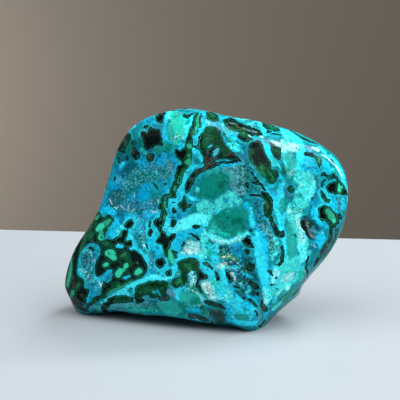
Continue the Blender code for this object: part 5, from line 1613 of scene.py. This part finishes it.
def stone_finish():
    """Polished chrysocolla: washes of pigment, dark ore with beads, and pale crystal."""
    f = Finish("polished chrysocolla")
    f.place = f.node("ShaderNodeTexCoord").outputs["Object"]
    broad, fine, dust = f.grain(1.6, 3), f.grain(0.6, 4, 0.6), f.grain(0.28, 3, 0.6)
    mottle = f.grain(1.1, 5, 0.65)
    crumbs = f.cells(0.62)
    threads = f.grain(1.7, 4, 0.6, 0.6)
    blots = f.grain(2.3, 2, 0.5)
    grit, lace = f.attribute("grit", "Fac"), f.attribute("lace", "Fac")
    wobble = broad * 0.5 + fine * 0.35 + (f.cell_distance(1.25) - 0.56) * 0.5
    dark = f.attribute("dark", "Fac") + wobble
    bead = f.attribute("bead", "Fac") + wobble * 0.6
    pale = f.attribute("pale", "Fac") + fine * 0.6 + dust * 0.7
    # the ground
    # painted light and shade: the stored level brightens or darkens the ground's colour, and also evens its
    # tone
    painted_light_and_tone = f.attribute("painted_light_and_tone", "Fac")
    shade = 1.04 + mottle * 1.2 + dust * 0.35 + crumbs * grit * 0.6
    ground = f.brighten(f.attribute("ground", "Color"), shade * painted_light_and_tone)
    waves = (f.grain(1.5, 2, 0.5, 0.3) * 30.0).sine()
    ground = f.mix(f.between(waves, -0.2, -0.9) * lace * 0.7, ground, colour("deep sea"))
    ground = f.mix(f.between(waves, 0.6, 0.97) * lace * 0.55, ground, colour("pale steel"))
    ground = f.mix(f.between(crumbs, 0.3, 0.5) * grit * 0.2, ground, colour("aqua"))
    ground = f.mix(f.between(crumbs + fine * 0.5, -0.22, -0.42) * grit * 0.8, ground, colour("deep sea"))
    strands = f.band(threads, 0.0, 0.05)
    ground = f.mix(strands * grit * 0.9, ground, colour("moss"))
    spots = f.between(blots + fine * 0.35, 0.17, 0.24)
    ground = f.mix(spots * 0.85, ground, colour("moss"))
    halo = f.between(dark + blots * 2.0, 1.5, 0.2) * f.between(mottle, -0.3, 0.1, 0.35, 1.0)
    ground = f.mix(halo * f.attribute("halo", "Fac"), ground, colour("cyan"))
    # the dark ore
    bands = (dark * 7.5 + broad * 5.0).sine()
    depth = 0.95 + bands * 0.3 + mottle * 2.2 + crumbs * 0.5
    # the same level puts painted light and shade on the ore's colour
    inner = f.brighten(f.attribute("inner", "Color"), depth * painted_light_and_tone)
    line = f.band(dark + fine * 0.2, -0.45, 0.10) * (0.2 + f.attribute("halo", "Fac") * 0.8)
    inner = f.mix(line, inner, colour("jade"))
    inner = f.mix(f.between(dark, -0.32, -0.12) * 0.8, inner, colour("pitch"))
    ring = f.between(bead, 0.95, 0.5) * f.between(bead, 0.1, 0.3)
    inner = f.mix(ring * (0.45 + fine), inner, colour("fir"))
    inner = f.mix(f.band(bead + fine * 0.2, 0.55, 0.14) * 0.45, inner, colour("fern"))
    core = 1.1 + fine * 0.9 - f.between(bead, -0.7, 0.0) * 0.4
    beads = f.brighten(f.attribute("bead_tone", "Color"), core)
    full = f.mix(f.between(dark, 0.12, -0.12), ground, inner)
    full = f.mix(f.between(bead, 0.1, -0.14), full, beads)
    full = f.mix(f.between(pale, 0.1, -0.14) * 0.9, full, colour("frost"))
    f.feed(f.shader.inputs["Base Color"], full)
    f.feed(f.shader.inputs["Coat Weight"], f.attribute("gloss", "Fac"))
    f.shader.inputs["Coat Roughness"].default_value = COAT_ROUGHNESS
    f.shader.inputs["Roughness"].default_value = POLISH_ROUGHNESS
    f.shader.inputs["Specular IOR Level"].default_value = POLISH_SHINE
    return f.material


def crystal_finish():
    """Small crystals that take their colour from the stone under them."""
    f = Finish("lining crystals")
    f.place = f.node("ShaderNodeTexCoord").outputs["Object"]
    tone = f.brighten(f.attribute("tone", "Color"), 1.0 + f.grain(0.3, 3) * 0.8)
    f.feed(f.shader.inputs["Base Color"], tone)
    f.shader.inputs["Roughness"].default_value = CRYSTAL_ROUGHNESS
    f.shader.inputs["Specular IOR Level"].default_value = CRYSTAL_SHINE
    return f.material


# ---------------------------------------------------------------- table, wall, light and camera
# Sizes and places in metres, tones in linear light; the clouding has lumps of CLOUD_SPAN millimetres.
TABLE_SIZE = (6.0, 0.55)
TABLE_BACK = 0.128
TABLE_TURN = math.radians(-6.2)
TABLE_TONE = (0.362, 0.404, 0.437)
TABLE_ROUGHNESS = 0.6
WALL_SIZE = (5.0, 4.0)
WALL_BACK = 1.6
WALL_TONE = (0.125, 0.108, 0.087)
WALL_ROUGHNESS = 0.9
CLOUD_SPAN = 9.0
CLOUDING = 0.03
WHITE = (1, 1, 1)
# Lamps: (name, place, what it aims at, width and height, watts, tint).
SOFTBOXES = [
    ("left softbox", (-0.80, -0.48, 1.36), (0, -0.08, 0.04), (1.6, 1.6), 21.5, WHITE),
    ("right softbox", (0.84, -0.52, 1.30), (0, -0.08, 0.04), (1.6, 1.6), 34.5, WHITE),
    ("key softbox", (0.56, 0.47, 1.15), (0, 0, 0.05), (0.40, 0.40), 8.0, WHITE),
    ("right strip", (1.10, 0.42, 0.60), (0, 0, 0.05), (0.10, 0.7), 3.5, WHITE),
    ("wall lamp", (-0.75, 1.20, -0.12), (-0.45, 1.6, -0.18), (0.4, 0.4), 8.0, (1, 0.99, 0.98)),
]
ROOM_TONE = (0.14, 0.14, 0.147, 1)
SENSOR_WIDTH = 36.0
NEAREST_SEEN = 0.05
FARTHEST_SEEN = 20
def plain(name, shade, roughness):
    """One faintly clouded colour."""
    finish = Finish(name)
    finish.place = finish.node("ShaderNodeTexCoord").outputs["Object"]
    tone = finish.brighten(shade, 1.0 + finish.grain(CLOUD_SPAN, 4) * CLOUDING)
    finish.feed(finish.shader.inputs["Base Color"], tone)
    finish.shader.inputs["Roughness"].default_value = roughness
    return finish.material


def stage():
    """The pale table that ends behind the stone, and the wall beyond it."""
    table = bmesh.new()
    bmesh.ops.create_grid(table, x_segments=1, y_segments=1, size=0.5)
    bmesh.ops.transform(
        table, verts=table.verts,
        matrix=Matrix.Translation((0, TABLE_BACK, 0)) @ Matrix.Rotation(TABLE_TURN, 4, "Z")
        @ Matrix.Diagonal((*TABLE_SIZE, 1, 1)) @ Matrix.Translation((0, -0.5, 0)),
    )
    to_object(table, "table", plain("pale table", TABLE_TONE, TABLE_ROUGHNESS))
    wall = bmesh.new()
    bmesh.ops.create_grid(wall, x_segments=1, y_segments=1, size=0.5)
    bmesh.ops.transform(
        wall, verts=wall.verts,
        matrix=Matrix.Translation((0, WALL_BACK, 0)) @ Matrix.Rotation(math.pi / 2, 4, "X")
        @ Matrix.Diagonal((*WALL_SIZE, 1, 1)),
    )
    to_object(wall, "wall", plain("wall", WALL_TONE, WALL_ROUGHNESS))


def softbox(name, place, aim, size, power, tint):
    """An area lamp that faces what it aims at."""
    lamp = bpy.data.lights.new(name, "AREA")
    lamp.shape = "RECTANGLE"
    lamp.size, lamp.size_y = size
    lamp.energy = power
    lamp.color = tint
    obj = bpy.data.objects.new(name, lamp)
    obj.location = place
    obj.rotation_euler = (Vector(aim) - Vector(place)).to_track_quat("-Z", "Y").to_euler()
    bpy.context.scene.collection.objects.link(obj)


def room_light():
    """The lamps and the soft light from all round."""
    for lamp in SOFTBOXES:
        softbox(*lamp)
    world = bpy.data.worlds.new("room")
    bpy.context.scene.world = world
    world.use_nodes = True
    world.node_tree.nodes["Background"].inputs["Color"].default_value = ROOM_TONE
    world.node_tree.nodes["Background"].inputs["Strength"].default_value = 1.0


def camera():
    """The camera that sees the stone as the sheet of marks does."""
    lens = bpy.data.cameras.new("camera")
    lens.sensor_width = SENSOR_WIDTH
    lens.lens = lens.sensor_width * CAMERA_DISTANCE / (SHEET_WIDTH * SHEET_STEP)
    lens.clip_start, lens.clip_end = NEAREST_SEEN, FARTHEST_SEEN
    obj = bpy.data.objects.new("camera", lens)
    obj.location = Vector(EYE * MM)
    obj.rotation_euler = Vector(SIGHT).to_track_quat("-Z", "Y").to_euler()
    bpy.context.scene.collection.objects.link(obj)
    bpy.context.scene.camera = obj


def polished_stone():
    """The stone with its pattern, and the crystals in its hollows."""
    body = stone_mesh()
    stone = to_object(body, "polished_stone", stone_finish())
    mesh = stone.data
    count = len(mesh.vertices)
    points, normals = np.empty(count * 3), np.empty(count * 3)
    mesh.vertices.foreach_get("co", points)
    mesh.vertices.foreach_get("normal", normals)
    faces = [tuple(p.vertices) for p in mesh.polygons]
    sheet = Sheet(points.reshape(-1, 3) / MM, normals.reshape(-1, 3), faces)
    fields = pattern(sheet)
    write_fields(mesh, fields)
    mesh.polygons.foreach_set("use_smooth", [True] * len(mesh.polygons))
    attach(stone, "root")
    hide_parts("stone")
    for lining in LININGS:
        crystal_lining(lining, sheet, faces, fields["ground"])


# Linings: (piece, CAD node it stands for, hollow, spacing, radius, height), in millimetres.
LININGS = [
    ("vug_crystals", "vug_druse", "vug", 0.36, 0.24, 0.45),
    ("pocket_crystals", "pocket_druse", "rough pocket", 0.5, 0.36, 0.75),
]
LINING_MARGIN = 0.35
CRYSTAL_JITTER = 0.5
CRYSTAL_SIDES = 5
CRYSTAL_SIZES = (0.55, 1.25)
CRYSTAL_LEAN = 0.35
CRYSTAL_TIPS = (0.15, 0.6)
# A crystal's brightness against the ground: middle and spread of its logarithm, and its top.
CRYSTAL_TONES = (0.35, 0.5)
BRIGHTEST = 0.9
PALE_CRYSTALS = 0.12
PALE_SHARE = 0.6
# How far outside a hollow the search for its floor starts, in millimetres.
ABOVE_HOLLOW = 6


def crystal_lining(lining, sheet, faces, ground):
    """Small blunt crystals that stand all over the floor of a hollow."""
    name, node, lined, spacing, radius, height = lining
    centre, azimuth, corners = HOLLOWS[lined][:3]
    dice = random.Random(lined)
    out = facing(azimuth)
    across = np.array([math.cos(math.radians(azimuth)), math.sin(math.radians(azimuth)), 0])
    corner = np.array(corners)
    body, tones = bmesh.new(), []
    for u in np.arange(corner[:, 0].min(), corner[:, 0].max(), spacing):
        for v in np.arange(corner[:, 1].min(), corner[:, 1].max(), spacing):
            right = dice.uniform(-CRYSTAL_JITTER, CRYSTAL_JITTER) * spacing
            high = dice.uniform(-CRYSTAL_JITTER, CRYSTAL_JITTER) * spacing
            spot = np.array([[u + right, v + high]])
            if not inside(spot, corners)[0] or edge_distance(spot, corners)[0] < LINING_MARGIN:
                continue
            start = np.array(centre) + across * spot[0, 0] + np.array([0, 0, spot[0, 1]])
            start = start + out * ABOVE_HOLLOW + TO_MIDDLE
            aim = Vector(HEART + TO_MIDDLE - start).normalized()
            foot, lean, face, _ = sheet.tree.ray_cast(Vector(start), aim)
            if foot is None:
                continue
            size = dice.uniform(*CRYSTAL_SIZES)
            up = (lean + Vector([dice.gauss(0, CRYSTAL_LEAN) for _ in range(3)])).normalized()
            turn = up.to_track_quat("Z", "Y").to_matrix().to_4x4()
            turn = turn @ Matrix.Rotation(dice.uniform(0, 6), 4, "Z")
            grown = bmesh.ops.create_cone(
                body, cap_ends=True, segments=CRYSTAL_SIDES, radius1=radius * size,
                radius2=radius * size * dice.uniform(*CRYSTAL_TIPS), depth=height * size,
                matrix=Matrix.Translation(foot * MM) @ turn @ Matrix.Scale(MM, 4),
            )
            tone = ground[faces[face][0]] * math.exp(dice.gauss(*CRYSTAL_TONES))
            if dice.random() < PALE_CRYSTALS:
                tone = tone * (1 - PALE_SHARE) + linear(PIGMENTS["pale aqua"]) * PALE_SHARE
            tones += [tone.clip(0, BRIGHTEST)] * len(grown["verts"])
    crystals = to_object(body, name, crystal_finish())
    write_fields(crystals.data, {"tone": np.array(tones)})
    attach(crystals, "root")
    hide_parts(node)


def main():
    bpy.context.scene.view_settings.view_transform = "Standard"
    polished_stone()
    stage()
    room_light()
    camera()


main()
